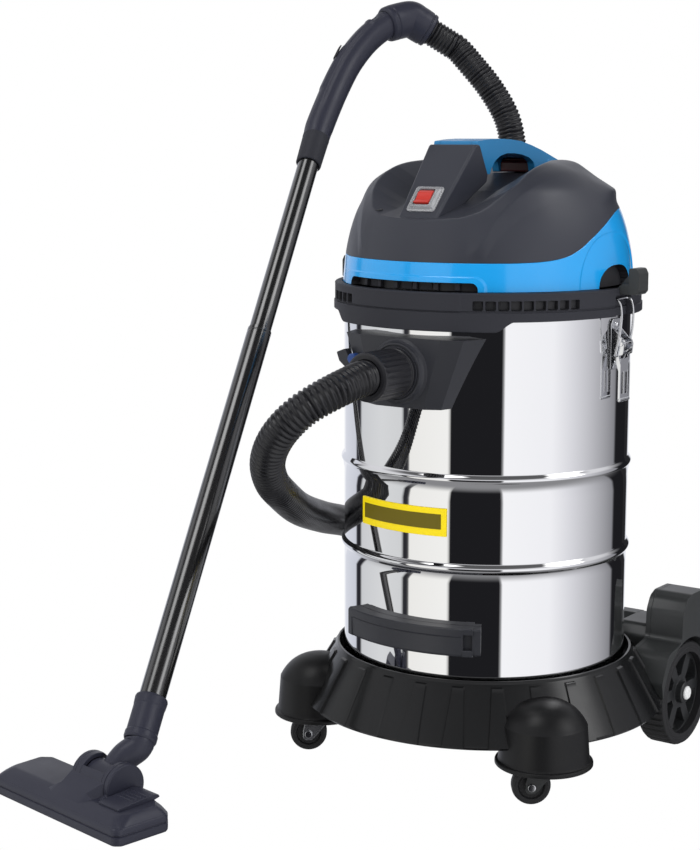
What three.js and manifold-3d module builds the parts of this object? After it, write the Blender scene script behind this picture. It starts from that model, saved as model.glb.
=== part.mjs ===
// Wet and dry shop vacuum with a steel tank, castor dolly, lift-off motor head, hose, wand and floor nozzle.
// Millimetres, +Z up. The tank stands on the Z axis, the hose inlet faces -Y, the latches are at +X and -X.
import * as THREE from 'three';
import { mergeVertices } from 'three/addons/utils/BufferGeometryUtils.js';
import Module from 'manifold-3d';

const wasm = await Module();
wasm.setup();

// ---------------------------------------------------------------- driving dimensions
const OFFSET = [114.925, 43.25, 0];                 // moves the whole object so that its box is centred on the origin
const SEG = 40;                           // facets round the big turned parts
const GAP = 0.3;
const TANK_R = 190, TANK_BOTTOM = 120.4, TANK_TOP = 612, TANK_WALL = 2;
const BEAD_Z = [296, 410], BEAD_OUT = 4, BEAD_H = 13;
const RIM_R = 200.5, RIM_Z = 154, SKIRT_R = 244, SKIRT_Z = 79;
const CASTER_X = 176, CASTER_Y = -138, CASTER_R = 25, CASTER_W = 20, CASTER_TRAIL = 16;
const TRAIL_DIR = [-0.811, -0.585];
const WHEEL_X = 202, WHEEL_Y = 175, WHEEL_Z = 73, WHEEL_R = 73, WHEEL_W = 40, AXLE_R = 5;
const RING_R = 204, RING_LOW = 610, RING_TOP = 645, APRON_LOW = 597;
const HEAD_BASE = 645.3, SHELL = 3;
const DOME = [[192, 645.3], [190, 668], [188, 683], [181, 715], [174, 736], [166, 752], [156, 769], [142, 783], [128, 793], [112, 801], [60, 805], [0, 806]];
const TOWER_X = 36, FACE_Y0 = -166, FACE_Z0 = 738, FACE_Y1 = -90, FACE_Z1 = 823;
const INLET_Z = 545, BOSS_R = 30;
const LATCH_X = 206, LATCH_Z = 575;
const HOSE_D = 44;
const WAND_BOTTOM = [-243, -414, 112], WAND_TOP = [-433, 188, 809];
const WAND_LOWER_R = 17.5, WAND_UPPER_R = 15.9, WAND_LOWER_LEN = 600, WAND_PLUG = 60;
const NOZZLE = [-278, -502], NOZZLE_L = 262, NOZZLE_W = 88, NOZZLE_TURN = -10.06;
const TRUNNION = { x: 24, y: 24, z: 42, r: 20 };

// ---------------------------------------------------------------- helpers
const V2 = (x, y) => new THREE.Vector2(x, y);
const V3 = (x, y, z) => new THREE.Vector3(x, y, z);

function solid(geometry) {
  const g = geometry.index ? geometry.toNonIndexed() : geometry.clone();
  for (const k of Object.keys(g.attributes)) if (k !== 'position') g.deleteAttribute(k);
  const m = mergeVertices(g, 1e-3);
  const p = m.attributes.position.array, idx = m.index.array, tri = [];
  for (let i = 0; i < idx.length; i += 3) {
    const [a, b, c] = [idx[i], idx[i + 1], idx[i + 2]];
    if (a !== b && b !== c && a !== c) tri.push(a, b, c);
  }
  let vol = 0;
  for (let i = 0; i < tri.length; i += 3) {
    const [a, b, c] = [tri[i] * 3, tri[i + 1] * 3, tri[i + 2] * 3];
    vol += p[a] * (p[b + 1] * p[c + 2] - p[b + 2] * p[c + 1])
         - p[a + 1] * (p[b] * p[c + 2] - p[b + 2] * p[c])
         + p[a + 2] * (p[b] * p[c + 1] - p[b + 1] * p[c]);
  }
  if (vol < 0) for (let i = 0; i < tri.length; i += 3) [tri[i + 1], tri[i + 2]] = [tri[i + 2], tri[i + 1]];
  return new wasm.Manifold(new wasm.Mesh({ numProp: 3, vertProperties: new Float32Array(p), triVerts: new Uint32Array(tri) }));
}
function geometryOf(man) {
  const mesh = man.getMesh();
  const g = new THREE.BufferGeometry();
  g.setAttribute('position', new THREE.BufferAttribute(new Float32Array(mesh.vertProperties), 3));
  g.setIndex(new THREE.BufferAttribute(new Uint32Array(mesh.triVerts), 1));
  g.computeVertexNormals();
  return g;
}
const join = (...s) => s.reduce((a, b) => a.add(b));
const cut = (a, ...s) => s.reduce((m, b) => m.subtract(b), a);

function box(x0, x1, y0, y1, z0, z1) {
  return solid(new THREE.BoxGeometry(x1 - x0, y1 - y0, z1 - z0).translate((x0 + x1) / 2, (y0 + y1) / 2, (z0 + z1) / 2));
}
// turned solid about Z from [r, z] pairs
function lathe(profile, seg = SEG) {
  return solid(new THREE.LatheGeometry(profile.map(([r, z]) => V2(r, z)), seg).rotateX(Math.PI / 2));
}
const ring = (r0, r1, z0, z1, seg = SEG) => lathe([[r0, z0], [r1, z0], [r1, z1], [r0, z1], [r0, z0]], seg);
const disc = (r, z0, z1, seg = SEG) => lathe([[0, z0], [r, z0], [r, z1], [0, z1]], seg);
// cylinder or tube between two points
function along(a, b, r, seg = 16, r2 = r) {
  const A = V3(...a), B = V3(...b), d = B.clone().sub(A), L = d.length();
  const g = new THREE.CylinderGeometry(r2, r, L, seg).translate(0, L / 2, 0);
  g.applyQuaternion(new THREE.Quaternion().setFromUnitVectors(V3(0, 1, 0), d.normalize()));
  return solid(g.translate(A.x, A.y, A.z));
}
const pipe = (a, b, ro, ri, seg = 16) => cut(along(a, b, ro, seg), along(extend(b, a, 1), extend(a, b, 1), ri, seg));
function extend(from, to, by) {
  const A = V3(...from), B = V3(...to), d = B.clone().sub(A).normalize();
  return B.add(d.multiplyScalar(by)).toArray();
}
// polygon in YZ, extruded along X
function yz(points, x0, x1) {
  const s = new THREE.Shape(points.map(([y, z]) => V2(y, z)));
  const g = new THREE.ExtrudeGeometry(s, { depth: x1 - x0, bevelEnabled: false });
  g.applyMatrix4(new THREE.Matrix4().set(0, 0, 1, x0, 1, 0, 0, 0, 0, 1, 0, 0, 0, 0, 0, 1));
  return solid(g);
}
// polygon in XZ, extruded along Y
function xz(points, y0, y1) {
  const s = new THREE.Shape(points.map(([x, z]) => V2(x, z)));
  const g = new THREE.ExtrudeGeometry(s, { depth: y1 - y0, bevelEnabled: false });
  g.applyMatrix4(new THREE.Matrix4().set(1, 0, 0, 0, 0, 0, 1, y0, 0, 1, 0, 0, 0, 0, 0, 1));
  return solid(g);
}
// polygon in XY, extruded along Z
function xy(points, z0, z1) {
  const s = new THREE.Shape(points.map(([x, y]) => V2(x, y)));
  return solid(new THREE.ExtrudeGeometry(s, { depth: z1 - z0, bevelEnabled: false }).translate(0, 0, z0));
}
// part of a ring; azimuth 0 is the front (-Y), positive towards +X
function sector(r0, r1, z0, z1, a0, a1, steps) {
  const pts = [], at = (r, a) => [r * Math.sin(a * Math.PI / 180), -r * Math.cos(a * Math.PI / 180)];
  for (let i = 0; i <= steps; i++) pts.push(at(r1, a0 + (a1 - a0) * i / steps));
  for (let i = steps; i >= 0; i--) pts.push(at(r0, a0 + (a1 - a0) * i / steps));
  return xy(pts, z0, z1);
}
// ruled solid between two outlines with the same number of points
function loft(a, b) {
  const n = a.length, pos = [], idx = [];
  for (const p of [...a, ...b]) pos.push(...p);
  const mid = (o) => o.reduce((s, p) => [s[0] + p[0] / n, s[1] + p[1] / n, s[2] + p[2] / n], [0, 0, 0]);
  pos.push(...mid(a), ...mid(b));
  for (let i = 0; i < n; i++) {
    const j = (i + 1) % n;
    idx.push(i, j, n + j, i, n + j, n + i, 2 * n, j, i, 2 * n + 1, n + i, n + j);
  }
  const g = new THREE.BufferGeometry();
  g.setAttribute('position', new THREE.BufferAttribute(new Float32Array(pos), 3));
  g.setIndex(idx);
  return solid(g);
}
// round rod or tube swept along a curve
function sweep(points, r, seg = 8, steps = 20, ri = 0, tension = 0.5) {
  const curve = new THREE.CatmullRomCurve3(points.map((p) => V3(...p)), false, 'centripetal', tension);
  const circle = (rr) => Array.from({ length: seg }, (_, i) => V2(rr * Math.cos(2 * Math.PI * i / seg), rr * Math.sin(2 * Math.PI * i / seg)));
  const s = new THREE.Shape(circle(r));
  if (ri) s.holes.push(new THREE.Path(circle(ri)));
  return solid(new THREE.ExtrudeGeometry(s, { steps, bevelEnabled: false, extrudePath: curve }));
}

const group = new THREE.Group();
const root = new THREE.Group();
group.add(root);
const materials = {
  black: { color: 0x18191c, roughness: 0.4, metalness: 0 },
  gloss: { color: 0x0f1012, roughness: 0.22, metalness: 0 },
  graphite: { color: 0x3c3d43, roughness: 0.5, metalness: 0 },
  tool: { color: 0x2f313b, roughness: 0.5, metalness: 0 },
  steel: { color: 0xd8d9db, roughness: 0.1, metalness: 1 },
  darksteel: { color: 0x131315, roughness: 0.2, metalness: 0.6 },
  chrome: { color: 0xdadce0, roughness: 0.12, metalness: 1 },
  blue: { color: 0x2394ea, roughness: 0.3, metalness: 0 },
  handleblue: { color: 0x1f78b4, roughness: 0.4, metalness: 0 },
  red: { color: 0xc0302a, roughness: 0.3, metalness: 0 },
  darkred: { color: 0x4a1418, roughness: 0.5, metalness: 0 },
  clear: { color: 0xcfd4d8, roughness: 0.2, metalness: 0 },
  yellow: { color: 0xf6d716, roughness: 0.45, metalness: 0 },
  white: { color: 0xe8e8e8, roughness: 0.4, metalness: 0 },
  paper: { color: 0xd9d6cc, roughness: 0.9, metalness: 0 },
  brass: { color: 0xb78a4a, roughness: 0.4, metalness: 1 },
};
function node(name, man, look, parent = root) {
  const mesh = new THREE.Mesh(geometryOf(man), new THREE.MeshStandardMaterial(materials[look]));
  mesh.name = name;
  parent.add(mesh);
  return mesh;
}

// ---------------------------------------------------------------- dolly
{
  const dish = lathe([[0, 120], [191, 120], [191, 127], [196.5, 127], [196.5, RIM_Z], [RIM_R - 1, RIM_Z], [RIM_R, RIM_Z - 2],
    [SKIRT_R, SKIRT_Z], [SKIRT_R - 4, SKIRT_Z - 1], [200.5, 140], [199, 114], [0, 114]]);
  const domeOut = [[0, 53], [62, 53], [62, 58], [58, 60], [53, 100], [44, 118], [28, 131], [0, 137]];
  const domeIn = [[0, 50], [56, 50], [53, 66], [49, 96], [0, 96]];
  const bosses = [], hollows = [], sockets = [];
  for (const s of [-1, 1]) {
    bosses.push(lathe(domeOut, 28).translate([s * CASTER_X, CASTER_Y, 0]));
    hollows.push(lathe(domeIn, 28).translate([s * CASTER_X, CASTER_Y, 0]));
    sockets.push(disc(6, 90, 118, 12).translate([s * CASTER_X, CASTER_Y, 0]));
  }
  // rear crossbeam and the wheel housings at its ends
  const pods = [], wells = [];
  for (const s of [-1, 1]) {
    const lo = Math.min(s * 128, s * 226), hi = Math.max(s * 128, s * 226);
    pods.push(yz([[150, 60], [150, 150], [158, 166], [225, 166], [232, 150], [232, 100], [205, 60]], Math.min(s * 128, s * 176), Math.max(s * 128, s * 176)));
    pods.push(yz([[150, 150], [152, 190], [162, 207], [176, 213], [215, 213], [232, 205], [240, 150], [262, 110], [250, 73], [100, 73], [92, 105], [110, 142]], Math.min(s * 170, s * 226), Math.max(s * 170, s * 226)));
    wells.push(along([s * 177, WHEEL_Y, WHEEL_Z], [s * 262, WHEEL_Y, WHEEL_Z], 79, 32));
    wells.push(box(Math.min(s * 177, s * 262), Math.max(s * 177, s * 262), 60, 300, -10, 75));
  }
  const beam = yz([[196, 96], [196, 160], [204, 166], [225, 166], [232, 158], [232, 96]], -130, 130);
  let body = join(dish, ...bosses, beam, ...pods);
  body = cut(body, ...hollows, ...sockets, ...wells,
    ring(0.001, 196.5, 127, 400).add(disc(191, 120, 400)),
    along([-240, WHEEL_Y, WHEEL_Z], [240, WHEEL_Y, WHEEL_Z], AXLE_R + 0.45, 16));
  node('base_dolly', body, 'gloss');
}

// castors, trailing towards TRAIL_DIR
for (const [side, s] of [['left', -1], ['right', 1]]) {
  const g = new THREE.Group();
  g.position.set(s * CASTER_X, CASTER_Y, 0);
  g.rotation.z = Math.atan2(TRAIL_DIR[1], TRAIL_DIR[0]);
  root.add(g);
  // local frame: +X is the trail, the wheel turns about Y
  const arm = (y0, y1) => xz([[-16, 58], [16, 58], [CASTER_TRAIL + 7, CASTER_R + 4], [CASTER_TRAIL + 7, CASTER_R - 6], [CASTER_TRAIL - 7, CASTER_R - 6], [-16, 50]], y0, y1);
  const fork = cut(join(disc(18, 57, 64, 20), disc(5.6, 63, 114, 12), box(-16, 16, -14, 14, 54, 59), arm(-14, -11.5), arm(11.5, 14)),
    along([CASTER_TRAIL, -16, CASTER_R], [CASTER_TRAIL, 16, CASTER_R], 3.3, 12));
  node(`caster_fork_${side}`, fork, 'black', g);
  const wheel = cut(along([CASTER_TRAIL, -CASTER_W / 2, CASTER_R], [CASTER_TRAIL, CASTER_W / 2, CASTER_R], CASTER_R, 28),
    along([CASTER_TRAIL, -16, CASTER_R], [CASTER_TRAIL, 16, CASTER_R], 3.5, 12));
  node(`caster_wheel_${side}`, wheel, 'black', g);
  node(`caster_axle_${side}`, join(along([CASTER_TRAIL, -14.2, CASTER_R], [CASTER_TRAIL, 14.2, CASTER_R], 2.9, 12),
    along([CASTER_TRAIL, -16.5, CASTER_R], [CASTER_TRAIL, -14.3, CASTER_R], 5, 12), along([CASTER_TRAIL, 14.3 - 0.2, CASTER_R], [CASTER_TRAIL, 16.5, CASTER_R], 5, 12),
    along([CASTER_TRAIL, -14.5, CASTER_R], [CASTER_TRAIL, -14.1, CASTER_R], 2.9, 12)), 'chrome', g);
}

// rear axle, wheels and caps
node('rear_axle', along([-221.5, WHEEL_Y, WHEEL_Z], [221.5, WHEEL_Y, WHEEL_Z], AXLE_R, 12), 'chrome');
for (const [side, s] of [['left', -1], ['right', 1]]) {
  const ax = (x0, x1, r, seg) => along([s * x0, WHEEL_Y, WHEEL_Z], [s * x1, WHEEL_Y, WHEEL_Z], r, seg);
  const x0 = WHEEL_X - WHEEL_W / 2, x1 = WHEEL_X + WHEEL_W / 2;
  let wheel = cut(ax(x0, x1, WHEEL_R, 32), ax(x0 - 1, x0 + 12, 57, 24), ax(x1 - 10, x1 + 1, 57, 24));
  const wins = [];
  for (let k = 0; k < 6; k++) {
    const a = k * Math.PI / 3 + Math.PI / 6, p = (r, da) => [WHEEL_Y + r * Math.cos(a + da), WHEEL_Z + r * Math.sin(a + da)];
    wins.push(yz([p(24, -0.22), p(52, -0.38), p(54.5, 0), p(52, 0.38), p(24, 0.22)], Math.min(s * (x0 - 2), s * (x1 + 2)), Math.max(s * (x0 - 2), s * (x1 + 2))));
  }
  wheel = cut(join(cut(wheel, ...wins), ax(x0, x1, 15, 16)), ax(x0 - 2, x1 + 2, AXLE_R + 0.45, 12));
  node(`rear_wheel_${side}`, wheel, 'black');
  node(`hub_cap_${side}`, join(ax(x1 + 0.4, x1 + 2.4, 9.5, 14), along([s * (x1 + 2.3), WHEEL_Y, WHEEL_Z], [s * (x1 + 4.5), WHEEL_Y, WHEEL_Z], 9.4, 14, 5)), 'white');
}

// ---------------------------------------------------------------- tank
const latheZ = (o) => o;
{
  const bead = (z) => [[TANK_R, z - BEAD_H / 2], [TANK_R + BEAD_OUT, z - BEAD_H / 8], [TANK_R + BEAD_OUT, z + BEAD_H / 8], [TANK_R, z + BEAD_H / 2]];
  const inBead = (z) => [[TANK_R - TANK_WALL, z + BEAD_H / 2], [TANK_R - TANK_WALL + BEAD_OUT, z], [TANK_R - TANK_WALL, z - BEAD_H / 2]];
  const outline = [[0, TANK_BOTTOM], [184, TANK_BOTTOM], [TANK_R, TANK_BOTTOM + 7], ...bead(BEAD_Z[0]), ...bead(BEAD_Z[1]), [TANK_R, TANK_TOP],
    [TANK_R - TANK_WALL, TANK_TOP], ...inBead(BEAD_Z[1]), ...inBead(BEAD_Z[0]), [TANK_R - TANK_WALL, TANK_BOTTOM + 8], [183, TANK_BOTTOM + TANK_WALL], [0, TANK_BOTTOM + TANK_WALL]];
  node('tank', cut(lathe(outline), along([0, -100, INLET_Z], [0, -220, INLET_Z], BOSS_R + 1, 20)), 'steel');
}
node('tank_gasket', ring(184, 190.6, TANK_TOP + 0.3, 618.5), 'black');

const tankSkin = disc(TANK_R + 0.5, 100, 640);
node('front_grip', cut(sector(TANK_R - 6, 212, 186, 228, -29, 31, 14), tankSkin, sector(TANK_R + 4, 208, 180, 224, -26, 28, 12)), 'black');
node('label_plate', cut(sector(TANK_R - 6, 192.3, 337, 373, -24, 17, 10), tankSkin), 'yellow');

// inlet panel, boss, button and inner deflector
{
  const outline = (tw, bw, y) => [[-tw, y, 588], [tw, y, 588], [bw, y, 500], [-bw, y, 500]];
  const block = loft(outline(112, 74, -120), outline(88, 54, -208));
  const hole = along([0, -100, INLET_Z], [0, -230, INLET_Z], BOSS_R + 0.8, 20);
  const buttonHole = along([-70, -190, 556], [-70, -215, 556], 7.6, 14);
  node('inlet_panel', cut(block, tankSkin, hole, buttonHole), 'black');
  node('inlet_boss', cut(join(along([0, -208.3, INLET_Z], [0, -217, INLET_Z], 44, 28), along([0, -170, INLET_Z], [0, -209, INLET_Z], BOSS_R, 20)),
    along([0, -160, INLET_Z], [0, -230, INLET_Z], 24, 20)), 'black');
  node('inlet_release_button', along([-70, -197, 556], [-70, -213, 556], 7, 14), 'blue');
  node('inlet_deflector', sweep([[0, -169.7, INLET_Z], [0, -160, INLET_Z], [0, -144, INLET_Z - 7], [0, -136, INLET_Z - 22], [0, -136, INLET_Z - 40]], 29, 12, 6, 26), 'black');
}

// ---------------------------------------------------------------- latches (two, the left one is the right one turned half round)
for (const [side, s] of [['left', -1], ['right', 1]]) {
  const g = new THREE.Group();
  g.rotation.z = s > 0 ? 0 : Math.PI;
  root.add(g);
  const pin = (r, y, x = LATCH_X, z = LATCH_Z, seg = 12) => along([x, -y, z], [x, y, z], r, seg);
  const ears = (y0, y1) => xz([[192, 557], [209, 569], [211, 575], [209, 581], [203, 582], [192, 596]], y0, y1);
  const bracket = cut(join(box(190.4, 192.6, -14, 14, 541, 606), ears(-10.6, -8), ears(8, 10.6)), pin(2.4, 20));
  node(`latch_bracket_${side}`, bracket, 'chrome', g);
  node(`latch_pin_${side}`, join(pin(2, 13.9), along([LATCH_X, -14.3, LATCH_Z], [LATCH_X, -13.6, LATCH_Z], 3, 12), along([LATCH_X, 13.6, LATCH_Z], [LATCH_X, 14.3, LATCH_Z], 3, 12)), 'chrome', g);
  const cheek = (y0, y1) => xz([[203, 560], [209, 560], [210, 575], [206, 579], [202, 576], [196.5, 566], [196.5, 557], [200, 549], [203, 540], [203, 504], [206, 504], [206, 548]], y0, y1);
  const lever = cut(join(cheek(-13.2, -11), cheek(11, 13.2), cut(box(203, 205.5, -11.2, 11.2, 504, 556), box(200, 208, -7.5, -2, 510, 538), box(200, 208, 2, 7.5, 510, 538)), box(202.5, 207, -13.2, 13.2, 500.5, 504.5)), pin(2.45, 20));
  node(`latch_lever_${side}`, lever, 'chrome', g);
  const wire = (y) => sweep([[200, y, 559], [203.2, y, 575], [206.4, y, 592], [207.4, y, 612], [205.6, y, 624], [198.6, y, 631.2]], 1.5, 6, 7);
  const bail = join(wire(-16), wire(16), along([198.6, -17.4, 631.2], [198.6, 17.4, 631.2], 1.5, 6), along([200, -17.4, 560.2], [200, -13.6, 560.2], 1.5, 6), along([200, 13.6, 560.2], [200, 17.4, 560.2], 1.5, 6));
  node(`latch_bail_${side}`, bail, 'chrome', g);
  // catch screwed to the head ring
  node(`latch_catch_${side}`, join(box(200.5, 217, -13, 13, 637.5, 651), xz([[214, 637.5], [225, 637.5], [229, 642], [229, 664], [225, 671], [214, 671]], -13, 13)), 'black', g);
}

// ---------------------------------------------------------------- motor head
{
  let body = lathe([[26, 618.8], [191.4, 618.8], [191.4, RING_LOW], [RING_R, RING_LOW], [RING_R, 622], [200, 624], [200, RING_TOP], [194, RING_TOP], [194, 624], [26, 624], [26, 618.8]]);
  body = join(body, sector(199, RING_R, APRON_LOW, RING_LOW + 2, -36, 36, 16));
  // notches that the bail wires lie in
  for (const s of [-1, 1]) body = cut(body, box(Math.min(s * 196.5, s * 215), Math.max(s * 196.5, s * 215), -21, 21, 590, 636));
  body = cut(body, along([0, 185, 634], [0, 215, 634], 7.4, 14));
  node('head_ring', body, 'black');
}
node('motor_housing', lathe([[0, 730], [60, 728], [78, 700], [78, 630], [95, 628], [95, 624.3], [74, 624.3], [74, 698], [57, 724], [0, 726]], 32), 'graphite');
node('motor_rotor', lathe([[0, 629], [8, 629], [8, 634], [66, 636], [66, 652], [8, 656], [8, 664], [32, 664], [32, 706], [8, 708], [8, 720], [0, 720]], 24), 'brass');
{
  let cage = lathe([[0, 505], [60, 505], [60, 618.5], [57, 618.5], [57, 508], [0, 508]], 24);
  const wins = [];
  for (let k = 0; k < 4; k++) wins.push(box(-70, 70, -11, 11, 520, 606).rotate([0, 0, k * 45]));
  node('float_cage', cut(cage, ...wins), 'white');
}
node('float_ball', solid(new THREE.SphereGeometry(32, 20, 12).rotateX(Math.PI / 2).translate(0, 0, 540.4)), 'white');
{
  const star = (r0, r1, n) => Array.from({ length: 2 * n }, (_, i) => { const a = Math.PI * i / n, r = i % 2 ? r0 : r1; return [r * Math.cos(a), r * Math.sin(a)]; });
  const paper = cut(xy(star(78, 86, 18), 500, 614), disc(70, 499, 615, 24));
  node('filter_cartridge', join(paper, disc(88, 496, 500.2, 32), ring(64, 88, 613.8, 618.4, 32), ring(66, 71, 500, 614, 24)), 'paper');
}

// head shell, split into the blue band below and the dark cover above
{
  const inner = DOME.map(([r, z], i) => [Math.max(0, r - SHELL), i === 0 ? z - 1 : z - (z > 760 ? SHELL : SHELL * 0.5)]);
  const outerSolid = lathe([[0, HEAD_BASE], ...DOME]);
  const innerSolid = lathe([[0, HEAD_BASE - 1], ...inner]);
  const plan = (k) => [[-82 - k, -300], [82 + k, -300], [82 + k, -153], [97 + k, -131], [106 + k, -81], [109 + k, -43], [102 + k, 20], [82 + k, 70], [62 + k, 110], [44 + k, 132 + k], [-44 - k, 132 + k], [-62 - k, 110],
    [-82 - k, 70], [-102 - k, 20], [-109 - k, -43], [-106 - k, -81], [-97 - k, -131], [-82 - k, -153]];
  const deck = (d) => [[-300, 735 - d], [-166, 735 - d], [-60, 765 - d], [58, 785 - d], [160, 786 - d], [160, 900], [-300, 900]];
  const scoop = (d) => xy(plan(d), 600, 895).intersect(yz(deck(d), -200, 200));
  const tower = (d) => yz([[-166 + d, 700], [FACE_Y0 + d, FACE_Z0 - d * 0.2], [FACE_Y1 + d * 0.4, FACE_Z1 - d], [-46 - d, FACE_Z1 - d], [-62 - d, 785 - d], [-62 - d, 700]], -TOWER_X + d, TOWER_X - d);
  const outside = outerSolid.subtract(scoop(0)).add(tower(0).intersect(lathe([[0, 690], [186, 690], [186, 840], [0, 840]], 30)));
  const inside = innerSolid.subtract(scoop(SHELL)).add(tower(SHELL));
  const shell = outside.subtract(inside);
  const below = (k) => yz([[-300, 600], [300, 600], [300, 742 + k], [60, 742 + k], [8, 738 + k], [-44, 721 + k], [-80, 695 + k], [-105, 685 + k], [-120, 683 + k], [-300, 683 + k]], -300, 300);
  // switch opening in the tower face
  const turn = Math.atan2(FACE_Z1 - FACE_Z0, FACE_Y1 - FACE_Y0);
  const toFace = (m) => m.rotate([turn * 180 / Math.PI, 0, 0]).translate([0, FACE_Y0, FACE_Z0]);
  const hole = toFace(box(-15.5, 15.5, 9.5, 38.5, -12, 8));
  const cover = cut(shell, below(GAP), hole);
  const parts = cover.decompose().sort((a, b) => b.volume() - a.volume());
  node('top_cover', parts[0], 'graphite');
  const band = shell.intersect(below(0)).decompose().sort((a, b) => b.volume() - a.volume());
  node('blue_band', band[0], 'blue');

  const frame = cut(join(box(-21, 21, 4, 44, 0.35, 6), box(-15, 15, 10, 38, -11, 1)), box(-12, 12, 11.5, 36.5, -7, 8));
  node('switch_boot', toFace(frame), 'clear');
  node('switch_rocker', toFace(box(-11, 11, 13, 35, -3, 8.6)), 'red');
}
node('carry_handle', cut(yz([[-88, 823.4], [-88, 828], [-60, 830], [-30, 831], [0, 830], [28, 827.5], [55, 822], [81, 815.5], [106, 808], [126, 802], [131, 792], [122, 787], [64, 786.3], [60, 800], [48, 806], [30, 810], [10, 812], [-10, 812], [-26, 809], [-38, 803], [-47, 794], [-51, 786], [-61.2, 786], [-45.5, 823.4]], -33, 33),
  box(-23, 23, 54, 112, 770, 806)), 'handleblue');
node('handle_core', box(-22.5, 22.5, 66, 106, 786.5, 803), 'darkred');
node('cable_gland', join(along([0, 188, 634], [0, 201, 634], 7, 14), along([0, 200.5, 634], [0, 216, 634], 10, 14, 7)), 'black');

// ---------------------------------------------------------------- hose, grip and wand
const P0 = V3(...WAND_BOTTOM), P1 = V3(...WAND_TOP), W = P1.clone().sub(P0).normalize();
const onWand = (d) => P0.clone().addScaledVector(W, d).toArray();
const wandLen = P1.distanceTo(P0);

const SLEEVE = [[-367.5, 457, 986], [-402, 426, 1014]];
const SLEEVE_DIR = V3(...SLEEVE[1]).sub(V3(...SLEEVE[0])).normalize().toArray();
node('hose_cuff_inlet', cut(join(along([0, -180, INLET_Z], [0, -219, INLET_Z], 23.2, 20), along([0, -217.4, INLET_Z], [0, -262, INLET_Z], 31, 20, 28)),
  along([0, -170, INLET_Z], [0, -270, INLET_Z], 19, 14)), 'black');
const HOSE = [[0, -262.6, 545], [0, -276, 545], [0, -290, 544.6], [-4.2, -320.9, 537.8], [-10.9, -338.1, 531.3], [-20.3, -352.7, 523.1], [-32.1, -364.3, 512.5], [-46.1, -372.1, 498.3], [-60.7, -374.2, 481.9],
  [-74.2, -370.8, 465.1], [-86.4, -362.3, 448.6], [-96.8, -350, 433.3], [-112.1, -321.9, 409.4], [-129.9, -277.2, 384], [-153, -217, 355], [-200, -101, 317],
  [-244, 28, 280], [-268, 110, 246], [-286, 190, 198], [-298, 255, 146], [-304, 300, 108], [-307, 352, 78], [-306, 413, 67], [-303, 475, 78], [-298, 532, 113], [-292, 570, 160], [-287, 587, 220], [-281, 588, 290],
  [-275, 575, 390], [-269, 557, 490], [-264, 538, 590], [-260, 520, 680], [-259, 508, 750], [-262, 502, 815], [-273, 499, 862], [-299, 491, 908], [-330, 479.5, 948],
  ...[24, 12, 0.9].map((d) => SLEEVE[0].map((v, i) => v - SLEEVE_DIR[i] * d))];
node('hose', sweep(HOSE, HOSE_D / 2, 8, 62), 'black');
node('hose_cuff_grip', pipe(SLEEVE[0], SLEEVE[1], 29, 20, 16), 'tool');
{
  const off = (d) => SLEEVE[1].map((v, i) => v + SLEEVE_DIR[i] * d);
  node('bent_grip', sweep([off(0.8), off(10), [-425, 388, 1012], [-440, 352, 989], [-449, 312, 952], [-449, 272, 908], onWand(wandLen + 34), onWand(wandLen + 14), onWand(wandLen + 0.6)], 22, 12, 11, 17.5), 'tool');
}
node('grip_collar', cut(along(onWand(wandLen - 42), onWand(wandLen - 0.1), 20.5, 16), along(onWand(wandLen - 60), onWand(wandLen + 2), WAND_UPPER_R + 0.4, 16)), 'tool');
node('wand_upper', pipe(onWand(WAND_LOWER_LEN - WAND_PLUG), onWand(wandLen - 0.5), WAND_UPPER_R, WAND_UPPER_R - 1.5, 16), 'darksteel');
node('wand_lower', pipe(onWand(-8), onWand(WAND_LOWER_LEN), WAND_LOWER_R, WAND_LOWER_R - 1.2, 16), 'darksteel');

// relief slider on the outside of the bent grip
{
  const t = V3(-0.09, 0.70, 0.71).normalize(), out = V3(-0.56, 0.02, 0.83);
  out.addScaledVector(t, -out.dot(t)).normalize();
  const g = new THREE.BoxGeometry(14, 24, 5);
  g.applyMatrix4(new THREE.Matrix4().makeBasis(t.clone().cross(out), t, out));
  node('relief_slider', solid(g.translate(...V3(-449, 312, 952).addScaledVector(out, 25.9).toArray())), 'tool');
}

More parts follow.
